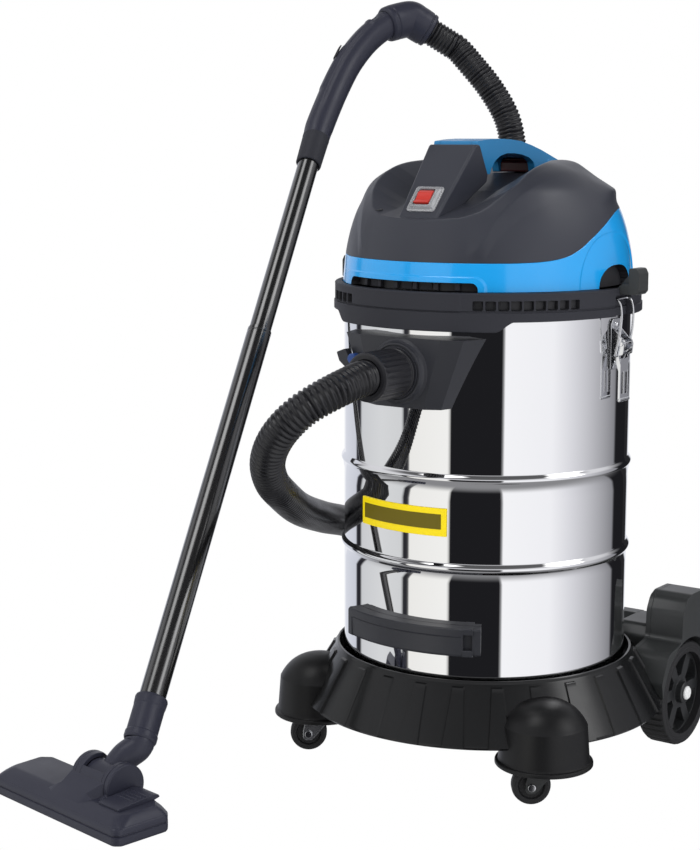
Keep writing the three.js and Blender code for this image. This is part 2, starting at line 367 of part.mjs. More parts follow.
// ---------------------------------------------------------------- floor nozzle, in its own frame: +Y points back, X along the mouth
{
  const g = new THREE.Group();
  g.position.set(NOZZLE[0], NOZZLE[1], 0);
  g.rotation.z = NOZZLE_TURN * Math.PI / 180;
  root.add(g);
  const toLocal = (p) => { const v = V3(...p).sub(V3(NOZZLE[0], NOZZLE[1], 0)).applyAxisAngle(V3(0, 0, 1), -NOZZLE_TURN * Math.PI / 180); return v.toArray(); };
  const h = NOZZLE_L / 2, w = NOZZLE_W / 2, T = TRUNNION;
  const outline = (k, z) => [[-h + k, -w + k * 1.2 + 8, z], [-h + k + 6, -w + k * 1.2, z], [h - k - 6, -w + k * 1.2, z], [h - k, -w + k * 1.2 + 8, z], [h - k, w - k - 10, z], [h - k - 12, w - k, z], [-h + k + 12, w - k, z], [-h + k, w - k - 10, z]];
  let body = join(loft(outline(0, 5), outline(0, 20)), loft(outline(0, 19.9), outline(9, 36)));
  body = join(body, along([T.x - 38, T.y, T.z], [T.x + 38, T.y, T.z], 29, 24));
  const slot = join(along([T.x - 28.5, T.y, T.z], [T.x + 28.5, T.y, T.z], T.r + 0.8, 24), box(T.x - 28.5, T.x + 28.5, T.y - 20.6, 90, T.z, 90), box(T.x - 28.5, T.x + 28.5, T.y, 90, 18, 90));
  body = cut(body, slot, box(-h + 9, h - 9, -w + 9, w - 14, -5, 12), box(-h - 5, h + 5, -w - 60, w + 60, -20, 4.8), box(T.x - 18, T.x + 18, T.y - 19, T.y + 14, 8, 30),
    box(h - 66, h - 24, -w + 20, w + 3, 28.5, 50), box(-h - 5, h + 5, w + 18, w + 60, -5, 90));
  node('nozzle_body', body, 'tool', g);
  node('nozzle_sole', cut(loft(outline(3, 0), outline(3, 4.5)), box(-h + 14, h - 14, -w + 16, w - 26, -5, 8)), 'chrome', g);
  node('nozzle_brush', cut(box(-h + 15, h - 15, -w + 17, w - 27, 5, 11.5), box(-h + 19, h - 19, -w + 21, w - 31, 0, 15)), 'black', g);
  node('nozzle_pedal', yz([[-w + 23, 33.4], [-w + 23, 37], [w - 12, 42], [w - 2, 40], [w - 2, 36.8], [w - 14, 33.4]], h - 65, h - 25), 'tool', g);
  const top = toLocal(onWand(-40.6)), next = toLocal(onWand(-47)), E = [T.x, T.y + 4, T.z + 2];
  node('nozzle_elbow', join(along([T.x - 28, T.y, T.z], [T.x + 28, T.y, T.z], T.r, 20), sweep([top, next, [27.5, 49, 66], E], 18.5, 12, 6)), 'tool', g);
}
node('nozzle_neck', cut(along(onWand(-40), onWand(20), 21.5, 16), along(onWand(-9), onWand(25), WAND_LOWER_R + 0.4, 16), along(onWand(-60), onWand(-5), 16, 16)), 'tool');

root.position.set(...OFFSET);
export default group;
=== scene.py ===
"""Looks of a wet and dry shop vacuum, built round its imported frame."""
import math
import bmesh
import bpy
import numpy as np
from mathutils import Matrix, Vector


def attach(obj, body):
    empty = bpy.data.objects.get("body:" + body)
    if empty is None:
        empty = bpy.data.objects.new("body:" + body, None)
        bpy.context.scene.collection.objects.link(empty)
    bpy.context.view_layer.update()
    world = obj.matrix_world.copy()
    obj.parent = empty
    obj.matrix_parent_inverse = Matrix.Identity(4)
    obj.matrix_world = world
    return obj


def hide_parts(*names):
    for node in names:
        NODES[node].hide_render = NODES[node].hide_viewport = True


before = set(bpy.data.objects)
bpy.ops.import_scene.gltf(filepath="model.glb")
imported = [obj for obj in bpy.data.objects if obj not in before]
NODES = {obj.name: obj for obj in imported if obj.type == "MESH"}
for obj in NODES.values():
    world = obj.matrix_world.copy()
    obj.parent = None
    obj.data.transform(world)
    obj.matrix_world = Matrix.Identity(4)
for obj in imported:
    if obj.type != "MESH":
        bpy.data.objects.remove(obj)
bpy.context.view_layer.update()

# Lengths below are millimetres in the machine's own frame: the tank stands on the Z axis, the hose inlet faces -Y.
OFF = np.array([114.925, 43.25, 0.0])


def row(p):
    return tuple((np.asarray(p, float) + OFF) * 0.001)


# ------------------------------------------------------------------ camera
AZ, PITCH = math.radians(35.8217), math.radians(9.1834)
cam_data = bpy.data.cameras.new("camera")
cam_data.sensor_width, cam_data.lens = 36.0, 1811.49 * 36.0 / 850.0
cam_data.clip_start, cam_data.clip_end = 0.05, 60.0
cam = bpy.data.objects.new("camera", cam_data)
bpy.context.scene.collection.objects.link(cam)
cam.location = row((1259.675, -2057.383, 839.250))
look = Vector((-math.sin(AZ) * math.cos(PITCH), math.cos(AZ) * math.cos(PITCH), -math.sin(PITCH)))
cam.rotation_mode = "QUATERNION"
cam.rotation_quaternion = look.to_track_quat("-Z", "Y")
bpy.context.scene.camera = cam


# ------------------------------------------------------------------ materials
def material(name, rgb, rough, metal=0.0, coat=0.0, coat_rough=0.08, spec=0.5, vary=0.06, vary_scale=7.0, rvar=0.04,
             rscale=18.0, grain=0.0, gscale=1100.0, gdist=0.00008, wave=0.0, wscale=5.0, wdist=0.0004, streak=0.0,
             trans=0.0, ior=1.5, sheen=0.0):
    m = bpy.data.materials.new(name)
    m.use_nodes = True
    nt = m.node_tree
    new, link = nt.nodes.new, nt.links.new
    b = nt.nodes["Principled BSDF"]
    b.inputs["Metallic"].default_value = metal
    b.inputs["Specular IOR Level"].default_value = spec
    b.inputs["Coat Weight"].default_value = coat
    b.inputs["Coat Roughness"].default_value = coat_rough
    b.inputs["Transmission Weight"].default_value = trans
    b.inputs["IOR"].default_value = ior
    b.inputs["Sheen Weight"].default_value = sheen
    tc = new("ShaderNodeTexCoord")
    n1 = new("ShaderNodeTexNoise")
    n1.inputs["Scale"].default_value = vary_scale
    n1.inputs["Detail"].default_value = 4
    link(tc.outputs["Object"], n1.inputs["Vector"])
    mix = new("ShaderNodeMix")
    mix.data_type = "RGBA"
    mix.inputs["A"].default_value = (*[c * (1 - vary) for c in rgb], 1)
    mix.inputs["B"].default_value = (*[min(1.0, c * (1 + vary)) for c in rgb], 1)
    link(n1.outputs["Fac"], mix.inputs["Factor"])
    link(mix.outputs["Result"], b.inputs["Base Color"])
    n2 = new("ShaderNodeTexNoise")
    n2.inputs["Scale"].default_value = rscale
    n2.inputs["Detail"].default_value = 5
    if streak:
        mp = new("ShaderNodeMapping")
        mp.inputs["Scale"].default_value = (1.0, 1.0, streak)
        link(tc.outputs["Object"], mp.inputs["Vector"])
        link(mp.outputs["Vector"], n2.inputs["Vector"])
    else:
        link(tc.outputs["Object"], n2.inputs["Vector"])
    mr = new("ShaderNodeMapRange")
    mr.inputs["From Min"].default_value, mr.inputs["From Max"].default_value = 0.3, 0.7
    mr.inputs["To Min"].default_value, mr.inputs["To Max"].default_value = max(0.0, rough - rvar), rough + rvar
    link(n2.outputs["Fac"], mr.inputs["Value"])
    link(mr.outputs["Result"], b.inputs["Roughness"])
    last = None
    if wave:
        n3 = new("ShaderNodeTexNoise")
        n3.inputs["Scale"].default_value = wscale
        n3.inputs["Detail"].default_value = 1
        link(tc.outputs["Object"], n3.inputs["Vector"])
        bw = new("ShaderNodeBump")
        bw.inputs["Strength"].default_value, bw.inputs["Distance"].default_value = wave, wdist
        link(n3.outputs["Fac"], bw.inputs["Height"])
        last = bw
    if grain:
        n4 = new("ShaderNodeTexNoise")
        n4.inputs["Scale"].default_value = gscale
        n4.inputs["Detail"].default_value = 2
        link(tc.outputs["Object"], n4.inputs["Vector"])
        bg = new("ShaderNodeBump")
        bg.inputs["Strength"].default_value, bg.inputs["Distance"].default_value = grain, gdist
        link(n4.outputs["Fac"], bg.inputs["Height"])
        if last:
            link(last.outputs["Normal"], bg.inputs["Normal"])
        last = bg
    if last:
        link(last.outputs["Normal"], b.inputs["Normal"])
    return m


GRAPHITE = material("graphite_shell", (0.0295, 0.0315, 0.042), 0.40, grain=0.35, gdist=0.00007, vary=0.07, rvar=0.05, spec=0.44)
GRAPHITE_DARK = material("graphite_dark", (0.016, 0.016, 0.019), 0.5, grain=0.3)
RING_BLACK = material("ring_black", (0.030, 0.0305, 0.037), 0.5, grain=0.3, vary=0.08, spec=0.14)
GLOSS = material("dolly_gloss", (0.0065, 0.0067, 0.007), 0.22, coat=0.08, coat_rough=0.08, vary=0.1, rvar=0.05, spec=0.34, wave=0.3, wscale=12, wdist=0.0003)
DOME_BLACK = material("dome_black", (0.0065, 0.0065, 0.007), 0.42, grain=0.12, gdist=0.00004, vary=0.1, rvar=0.05, spec=0.32)
POD_BLACK = material("pod_black", (0.029, 0.031, 0.031), 0.38, grain=0.25, gdist=0.00006)
TOOL = material("tool_plastic", (0.0245, 0.0255, 0.040), 0.40, grain=0.3, gdist=0.00006, vary=0.08, rvar=0.05, spec=0.36)
TOOL_DARK = material("tool_dark", (0.013, 0.013, 0.017), 0.5, grain=0.3)
PANEL = material("panel_plastic", (0.023, 0.024, 0.030), 0.42, grain=0.35, vary=0.07)
CUFF = material("cuff_plastic", (0.014, 0.014, 0.017), 0.36, grain=0.2)
STEEL = material("mirror_steel", (0.93, 0.932, 0.94), 0.022, metal=1.0, vary=0.004, rvar=0.012, rscale=9, wave=0.15, wscale=2.2, wdist=0.0002)
CHROME = material("chrome_wire", (0.86, 0.87, 0.89), 0.1, metal=1.0, vary=0.03, rvar=0.03, grain=0.05)
PLATE = material("pressed_plate", (0.62, 0.63, 0.65), 0.24, metal=1.0, vary=0.06, rvar=0.05, grain=0.12)
TUBE = material("black_tube", (0.005, 0.005, 0.0054), 0.2, coat=1.0, coat_rough=0.15, vary=0.1, rvar=0.03, spec=0.8, streak=0.2)
BLUE = material("band_blue", (0.006, 0.315, 0.735), 0.22, coat=0.6, coat_rough=0.05, vary=0.03, rvar=0.04)
BLUE_DEEP = material("band_blue_deep", (0.008, 0.165, 0.62), 0.24, coat=0.5, vary=0.03)
HANDLE = material("handle_blue", (0.016, 0.19, 0.42), 0.33, coat=0.15, vary=0.05, rvar=0.05, grain=0.12)
CORE_RED = material("core_red", (0.055, 0.008, 0.010), 0.45, grain=0.2)
SWITCH_RED = material("switch_red", (0.50, 0.030, 0.020), 0.28, coat=0.3, vary=0.05)
BOOT = material("switch_boot", (0.72, 0.73, 0.76), 0.16, coat=0.5, trans=0.7, ior=1.45, vary=0.03)
MARK = material("switch_mark", (0.85, 0.85, 0.85), 0.4)
YELLOW = material("label_yellow", (0.95, 0.73, 0.002), 0.4, vary=0.03, coat=0.05, spec=0.3)
OLIVE = material("label_panel", (0.140, 0.108, 0.001), 0.45, vary=0.05, spec=0.3)
WHITE = material("cap_white", (0.80, 0.80, 0.79), 0.3, vary=0.03)
NATURAL = material("cage_white", (0.70, 0.70, 0.68), 0.4, vary=0.04)
HOSE_MAT = material("hose_rubber", (0.0085, 0.0085, 0.0105), 0.32, grain=0.2, gdist=0.00006, vary=0.12, rvar=0.06, spec=0.55)
SEAL = material("seal_rubber", (0.012, 0.012, 0.012), 0.7, grain=0.4)
TYRE = material("tyre_rubber", (0.012, 0.012, 0.013), 0.55, grain=0.4, gscale=900, gdist=0.0001)
SOLE = material("sole_steel", (0.10, 0.10, 0.105), 0.34, metal=1.0, vary=0.08, rvar=0.05, grain=0.12)
WHEEL = material("wheel_plastic", (0.018, 0.019, 0.020), 0.36, grain=0.2)
BUTTON_BLUE = material("button_blue", (0.014, 0.05, 0.20), 0.3, coat=0.3)
PAPER = material("filter_paper", (0.66, 0.63, 0.55), 0.9, grain=0.6, gscale=500, gdist=0.0002, vary=0.06)
COPPER = material("rotor_metal", (0.55, 0.42, 0.28), 0.35, metal=1.0, vary=0.08)
BRISTLE = material("bristle", (0.02, 0.02, 0.022), 0.6, grain=0.5)


# ------------------------------------------------------------------ mesh tools
class Geo:
    def __init__(self):
        self.v, self.f, self.m = [], [], []

    def add(self, verts, faces, mi=0, M=None):
        n = len(self.v)
        if M is not None:
            verts = [tuple(M @ Vector(p)) for p in verts]
        self.v.extend(tuple(p) for p in verts)
        for q in faces:
            self.f.append(tuple(i + n for i in q))
            self.m.append(mi)
        return self


def rows(rings, closed=True, cap0=False, cap1=False, loop=False):
    v = [p for r in rings for p in r]
    n, m = len(rings[0]), len(rings)
    f = []
    for i in range(m if loop else m - 1):
        a, b = i * n, ((i + 1) % m) * n
        for j in range(n if closed else n - 1):
            k = (j + 1) % n
            f.append((a + j, a + k, b + k, b + j))
    if cap0:
        f.append(tuple(reversed(range(n))))
    if cap1:
        f.append(tuple((m - 1) * n + j for j in range(n)))
    return v, f


def fillet(pts, r, closed=True, n=4):
    out, N = [], len(pts)
    for i, p in enumerate(pts):
        rr = r[i] if hasattr(r, "__len__") else r
        if (not closed and i in (0, N - 1)) or rr <= 0:
            out.append(tuple(p))
            continue
        a, b, c = np.array(pts[i - 1], float), np.array(p, float), np.array(pts[(i + 1) % N], float)
        u, w = a - b, c - b
        lu, lw = np.linalg.norm(u), np.linalg.norm(w)
        if lu < 1e-9 or lw < 1e-9:
            out.append(tuple(p))
            continue
        u, w = u / lu, w / lw
        ang = math.acos(float(np.clip(u @ w, -1, 1)))
        if ang > math.pi - 0.05 or ang < 0.02:
            out.append(tuple(p))
            continue
        t = min(rr / math.tan(ang / 2), 0.48 * lu, 0.48 * lw)
        rad = t * math.tan(ang / 2)
        bis = (u + w) / np.linalg.norm(u + w)
        cen = b + bis * (rad / math.sin(ang / 2))
        v0, v1, om = b + u * t - cen, b + w * t - cen, math.pi - ang
        for k in range(n + 1):
            s = k / n
            out.append(tuple(cen + (math.sin((1 - s) * om) * v0 + math.sin(s * om) * v1) / math.sin(om)))
    return out


def lathe(g, prof, seg=64, M=None, mi=0, radial=None):
    prof = [tuple(p) for p in prof]
    ring = prof[0] == prof[-1] and prof[0][0] > 1e-6
    if ring:
        prof = prof[:-1]
    verts, faces, idx = [], [], []
    for i, (r, z) in enumerate(prof):
        if r < 1e-6:
            idx.append([len(verts)] * seg)
            verts.append((0, 0, z))
        else:
            base = len(verts)
            idx.append(list(range(base, base + seg)))
            for k in range(seg):
                a = 2 * math.pi * k / seg
                rr = r + (radial(a, r, z) if radial else 0)
                verts.append((rr * math.cos(a), rr * math.sin(a), z))
    n = len(prof)
    for i in range(n if ring else n - 1):
        A, B = idx[i], idx[(i + 1) % n]
        for k in range(seg):
            q = (k + 1) % seg
            fc = list(dict.fromkeys([A[k], A[q], B[q], B[k]]))
            if len(fc) >= 3:
                faces.append(tuple(fc))
    g.add(verts, faces, mi, M)


def arc(g, poly, a0, a1, steps, mi=0, M=None):
    """closed (r, z) outline swept round Z; azimuth 0 is -Y, positive towards +X"""
    rings = []
    for i in range(steps + 1):
        a = math.radians(a0 + (a1 - a0) * i / steps)
        rings.append([(r * math.sin(a), -r * math.cos(a), z) for r, z in poly])
    v, f = rows(rings, True, True, True)
    g.add(v, f, mi, M)


def prism(g, pts, d0, d1, plane="xy", mi=0, M=None, taper=None):
    def at(p, d):
        a, b = p
        if taper and d == d1:
            a, b = taper(p)
        return {"xy": (a, b, d), "xz": (a, d, b), "yz": (d, a, b)}[plane]
    v, f = rows([[at(p, d0) for p in pts], [at(p, d1) for p in pts]], True, True, True)
    g.add(v, f, mi, M)


def block(g, x0, x1, y0, y1, z0, z1, mi=0, M=None):
    prism(g, [(x0, y0), (x1, y0), (x1, y1), (x0, y1)], z0, z1, "xy", mi, M)


def axis(a, b):
    """matrix that takes local +Z, from the origin, along a to b"""
    a, b = Vector(a), Vector(b)
    q = (b - a).normalized().to_track_quat("Z", "Y")
    return Matrix.Translation(a) @ q.to_matrix().to_4x4()


def rod(g, a, b, r, seg=24, edge=0.6, bore=0.0, mi=0, r2=None, M=None, radial=None):
    L = (Vector(b) - Vector(a)).length
    r2 = r if r2 is None else r2
    if bore:
        prof = fillet([(bore, 0), (r, 0), (r2, L), (bore, L)], edge, True, 3)
        prof.append(prof[0])
    else:
        prof = fillet([(0, 0), (r, 0), (r2, L), (0, L)], edge, False, 3)
    T = axis(a, b)
    lathe(g, prof, seg, (M @ T) if M is not None else T, mi, radial)


def frames(P):
    """parallel-transported frames along a polyline"""
    P = np.asarray(P, float)
    T = np.gradient(P, axis=0)
    T /= np.linalg.norm(T, axis=1)[:, None]
    N = np.zeros_like(T)
    ref = np.array([0, 0, 1.0]) if abs(T[0][2]) < 0.9 else np.array([1.0, 0, 0])
    n = np.cross(T[0], ref)
    n /= np.linalg.norm(n)
    N[0] = n
    for i in range(1, len(P)):
        n = N[i - 1] - T[i] * (N[i - 1] @ T[i])
        N[i] = n / np.linalg.norm(n)
    return T, N, np.cross(T, N)


def tube(g, P, radii, seg=24, mi=0, M=None, caps=True, shape=None):
    P = np.asarray(P, float)
    T, N, B = frames(P)
    R = np.broadcast_to(np.asarray(radii, float), (len(P),))
    th = np.linspace(0, 2 * math.pi, seg, endpoint=False)
    V = []
    for i in range(len(P)):
        rr = R[i] if shape is None else R[i] * shape(th, i / (len(P) - 1))
        V.append(P[i] + (rr * np.cos(th))[:, None] * N[i] + (rr * np.sin(th))[:, None] * B[i])
    v, f = rows([list(map(tuple, r)) for r in V], True, caps, caps)
    g.add(v, f, mi, M)


def curve(P, n=24):
    """centripetal Catmull-Rom through the points"""
    P = np.asarray(P, float)
    Q = np.vstack([2 * P[0] - P[1], P, 2 * P[-1] - P[-2]])
    out = []
    for i in range(1, len(Q) - 2):
        p0, p1, p2, p3 = Q[i - 1:i + 3]
        t0 = 0.0
        t1 = t0 + np.linalg.norm(p1 - p0) ** 0.5
        t2 = t1 + np.linalg.norm(p2 - p1) ** 0.5
        t3 = t2 + np.linalg.norm(p3 - p2) ** 0.5
        for t in np.linspace(t1, t2, n, endpoint=False):
            A1 = (t1 - t) / (t1 - t0) * p0 + (t - t0) / (t1 - t0) * p1
            A2 = (t2 - t) / (t2 - t1) * p1 + (t - t1) / (t2 - t1) * p2
            A3 = (t3 - t) / (t3 - t2) * p2 + (t - t2) / (t3 - t2) * p3
            B1 = (t2 - t) / (t2 - t0) * A1 + (t - t0) / (t2 - t0) * A2
            B2 = (t3 - t) / (t3 - t1) * A2 + (t - t1) / (t3 - t1) * A3
            out.append((t2 - t) / (t2 - t1) * B1 + (t - t1) / (t2 - t1) * B2)
    out.append(P[-1])
    return np.array(out)


def even(P, step):
    P = np.asarray(P, float)
    s = np.concatenate([[0], np.cumsum(np.linalg.norm(np.diff(P, axis=0), axis=1))])
    n = max(2, int(round(s[-1] / step)))
    u = np.linspace(0, s[-1], n + 1)
    return np.stack([np.interp(u, s, P[:, k]) for k in range(3)], 1), u


def make(name, g, mats, body, rep=(), bevel=None, smooth=38, wn=True, sheet=0.0, recalc=True, subsurf=0):
    me = bpy.data.meshes.new(name)
    V = (np.array(g.v, float) + OFF) * 0.001
    me.from_pydata(V.tolist(), [], g.f)
    for m in (mats if isinstance(mats, (list, tuple)) else [mats]):
        me.materials.append(m)
    me.polygons.foreach_set("material_index", g.m)
    if recalc:
        bm = bmesh.new()
        bm.from_mesh(me)
        bmesh.ops.recalc_face_normals(bm, faces=bm.faces)
        bm.to_mesh(me)
        bm.free()
    me.polygons.foreach_set("use_smooth", [True] * len(me.polygons))
    me.set_sharp_from_angle(angle=math.radians(smooth))
    me.update()
    o = bpy.data.objects.new(name, me)
    bpy.context.scene.collection.objects.link(o)
    if sheet:
        s = o.modifiers.new("wall", "SOLIDIFY")
        s.thickness, s.offset, s.use_even_offset = sheet * 0.001, -1.0, False
    if bevel:
        bv = o.modifiers.new("edge", "BEVEL")
        bv.width, bv.segments, bv.limit_method = bevel[0] * 0.001, bevel[1], "ANGLE"
        bv.angle_limit = math.radians(bevel[2] if len(bevel) > 2 else 32)
        bv.use_clamp_overlap = True
    if subsurf:
        ss = o.modifiers.new("sub", "SUBSURF")
        ss.levels = ss.render_levels = subsurf
    if wn:
        w = o.modifiers.new("normals", "WEIGHTED_NORMAL")
        w.keep_sharp = True
    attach(o, body)
    if rep:
        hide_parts(*([rep] if isinstance(rep, str) else rep))
    return o


def paint(node, mat):
    for s in NODES[node].material_slots:
        s.material = mat


def smoothstep(x):
    x = np.clip(x, 0, 1)
    return x * x * (3 - 2 * x)


def az_of(x, y):
    return np.degrees(np.arctan2(x, -y))


SIDES = (("left", -1), ("right", 1))

# ------------------------------------------------------------------ wand line and hose route
P0, P1 = np.array([-243.0, -414.0, 112.0]), np.array([-433.0, 188.0, 809.0])
WLEN = float(np.linalg.norm(P1 - P0))
W = (P1 - P0) / WLEN
on_wand = lambda d: P0 + W * d
SLEEVE0, SLEEVE1 = np.array([-367.5, 457.0, 986.0]), np.array([-402.0, 426.0, 1014.0])
SDIR = (SLEEVE1 - SLEEVE0) / np.linalg.norm(SLEEVE1 - SLEEVE0)
HOSE = [[0, -262.6, 545], [0, -276, 545], [0, -290, 544.6], [-4.2, -320.9, 537.8], [-10.9, -338.1, 531.3], [-20.3, -352.7, 523.1], [-32.1, -364.3, 512.5], [-46.1, -372.1, 498.3], [-60.7, -374.2, 481.9],
        [-74.2, -370.8, 465.1], [-86.4, -362.3, 448.6], [-96.8, -350, 433.3], [-112.1, -321.9, 409.4], [-129.9, -277.2, 384], [-153, -217, 355], [-200, -101, 317],
        [-244, 28, 280], [-268, 110, 246], [-286, 190, 198], [-298, 255, 146], [-304, 300, 108], [-307, 352, 78], [-306, 413, 67], [-303, 475, 78], [-298, 532, 113], [-292, 570, 160], [-287, 587, 220], [-281, 588, 290],
        [-275, 575, 390], [-269, 557, 490], [-264, 538, 590], [-260, 520, 680], [-259, 508, 750], [-262, 502, 815], [-273, 499, 862], [-299, 491, 908], [-330, 479.5, 948],
        *[list(SLEEVE0 - SDIR * d) for d in (24, 12, 0.9, -12, -24, -37)]]
HOSE_D = 44.0

hose_line, hose_s = even(curve(HOSE, 40), 1.1)
# ribs are a full depth by the cuff, shallow round the lower part of the front loop, and deep again towards the grip
pitch = 6.4
ph = hose_s / pitch * 2 * math.pi
crest = (0.5 + 0.5 * np.cos(ph)) ** 0.62
depth = 2.9 - 2.45 * smoothstep((hose_s - 215) / 110) + 2.2 * smoothstep((hose_s - 640) / 160)
hose_r = HOSE_D / 2 - depth * (1 - crest)
g = Geo()
tube(g, hose_line, hose_r, 32)
hose = make("corrugated_hose", g, HOSE_MAT, "machine", "hose", smooth=80, wn=False)

# moulded cuff with long grip flutes and a collar ring
g = Geo()
prof = fillet([(19, 0), (23.2, 0), (23.2, 37.6), (31, 37.6), (31, 41.5), (28.9, 43), (30.8, 46), (30.8, 94), (30.2, 98.5), (27.6, 100), (22.5, 100), (22.5, 82), (19, 82)], [0.5, 1, 0.6, 1.4, 1.2, 0.6, 0.8, 1.5, 1.2, 1.0, 0.4, 0.5, 0.5], True, 3)
fine = []
for i in range(len(prof)):
    a, b = np.array(prof[i]), np.array(prof[(i + 1) % len(prof)])
    n = max(1, int(np.linalg.norm(b - a) / 5))
    fine += [tuple(a + (b - a) * k / n) for k in range(n)]
fine.append(fine[0])
fl = lambda a, r, z: -1.15 * (0.5 - 0.5 * math.cos(28 * a)) ** 0.5 * float(smoothstep((z - 45) / 4) * smoothstep((97 - z) / 4)) if r > 29 else 0.0
lathe(g, fine, 224, axis((0, -180, 545), (0, -262, 545)), 0, fl)
make("hose_cuff_front", g, CUFF, "machine", "hose_cuff_inlet", smooth=50)

# ------------------------------------------------------------------ grip, collar and wand
SL = float(np.linalg.norm(SLEEVE1 - SLEEVE0))
sl_line, sl_s = even(curve([SLEEVE0 + SDIR * 26, SLEEVE0 + SDIR * 36, SLEEVE1, SLEEVE1 + SDIR * 9, (-419.5, 401, 1015.0), (-428.5, 380, 1008.5)], 20), 0.8)
SLL = float(sl_s[-1])
key = [(0, 23.2), (0.6, 25.6), (2.4, 27.2), (6.4, 27.6), (7.2, 26.7), (8.4, 26.7), (9.4, 28.0), (20, 28.6), (SLL - 12, 28.4), (SLL - 10.6, 27.3), (SLL - 9.2, 27.3), (SLL - 8.2, 28.2), (SLL - 3, 27.6), (SLL - 0.8, 26.0), (SLL, 23.6)]
sl_r = np.interp(sl_s, [k for k, _ in key], [r for _, r in key])
g = Geo()
th = np.linspace(0, 2 * math.pi, 72, endpoint=False)
T, N, B = frames(sl_line)
o_, i_ = [], []
for i in range(len(sl_line)):
    o_.append([tuple(sl_line[i] + sl_r[i] * (math.cos(q) * N[i] + math.sin(q) * B[i])) for q in th])
    i_.append([tuple(sl_line[i] + 22.4 * (math.cos(q) * N[i] + math.sin(q) * B[i])) for q in th])
v, f = rows(o_ + i_[::-1], True, False, False, loop=True)
g.add(v, f)
make("hose_cuff_rear", g, TOOL, "machine", "hose_cuff_grip", smooth=45)

off = lambda d: SLEEVE1 + SDIR * d
grip_line, grip_s = even(curve([off(0.8), off(10), (-425, 388, 1012), (-440, 352, 989), (-449, 312, 952), (-449, 272, 908), on_wand(WLEN + 46), on_wand(WLEN + 34), on_wand(WLEN + 24)], 30), 3.0)
T, N, B = frames(grip_line)
GL = float(grip_s[-1])
out_dir = np.array([-0.56, 0.02, 0.83])
slot_s = float(grip_s[np.argmin(np.linalg.norm(grip_line - np.array([-432.0, 370.0, 1001.0]), axis=1))])
pad_s = float(grip_s[np.argmin(np.linalg.norm(grip_line - np.array([-449.0, 290.0, 930.0]), axis=1))])
g = Geo()
th = np.linspace(0, 2 * math.pi, 96, endpoint=False)
outer, inner = [], []
cam_pull = np.array([0.585, -0.811, 0.1])
SLOT_TURN = 0.0
i0 = int(np.argmin(np.abs(grip_s - slot_s)))
o0 = out_dir - T[i0] * (out_dir @ T[i0])
o0 /= np.linalg.norm(o0)
SLOT_TURN = 34.0 if np.cross(T[i0], o0) @ cam_pull > 0 else -34.0
for i in range(len(grip_line)):
    s = grip_s[i]
    d = np.cos(th)[:, None] * N[i] + np.sin(th)[:, None] * B[i]
    o = out_dir - T[i] * (out_dir @ T[i])
    o /= np.linalg.norm(o)
    q = np.cross(T[i], o)
    ang = np.degrees(np.arctan2(d @ q, d @ o))
    r = np.full(96, 21.9) - 1.5 * float(smoothstep((s - GL + 30) / 30))
    # slot of the air relief and the raised pad below it
    turned = np.abs((ang - SLOT_TURN + 180) % 360 - 180)
    in_slot = smoothstep((38 - turned) / 6) * float(smoothstep((7.5 - abs(s - slot_s)) / 1.6))
    lip = smoothstep((42 - turned) / 6) * float(smoothstep((4.0 - abs(s - slot_s - 11)) / 2.0))
    on_pad = smoothstep((33 - np.abs(ang)) / 6) * float(smoothstep((44 - abs(s - pad_s)) / 3.0))
    side = smoothstep((9 - np.abs(np.abs(ang) - 62)) / 6) * float(smoothstep((s - 30) / 30) * smoothstep((GL - 40 - s) / 40))
    r = r - 4.0 * in_slot + 1.3 * lip + 1.1 * on_pad - 0.7 * side
    outer.append([tuple(grip_line[i] + d[k] * r[k]) for k in range(96)])
    inner.append([tuple(grip_line[i] + d[k] * 17.5) for k in range(96)])
v, f = rows(outer + inner[::-1], True, False, False, loop=True)
g.add(v, f)
make("curved_grip", g, TOOL, "machine", "bent_grip", smooth=52)

# sliding cover of the air relief
t = np.array([-0.09, 0.70, 0.71])
t /= np.linalg.norm(t)
o = out_dir - t * (out_dir @ t)
o /= np.linalg.norm(o)
c = np.array([-449.0, 312.0, 952.0]) + o * 24.7
q = np.cross(t, o)
R = Matrix((tuple(q) + (c[0],), tuple(t) + (c[1],), tuple(o) + (c[2],), (0, 0, 0, 1)))
R = Matrix([[q[0], t[0], o[0], c[0]], [q[1], t[1], o[1], c[1]], [q[2], t[2], o[2], c[2]], [0, 0, 0, 1]])
g = Geo()
prism(g, fillet([(-7, -12), (7, -12), (7, 12), (-7, 12)], 2.2), -1.4, 0.5, "xy", 0, R)
for k in range(5):
    prism(g, fillet([(-6, -9 + k * 4.2 - 0.9), (6, -9 + k * 4.2 - 0.9), (6, -9 + k * 4.2 + 0.9), (-6, -9 + k * 4.2 + 0.9)], 0.6), 0.4, 1.2, "xy", 0, R)
make("relief_cover", g, TOOL_DARK, "relief_valve", "relief_slider", bevel=(0.5, 2))

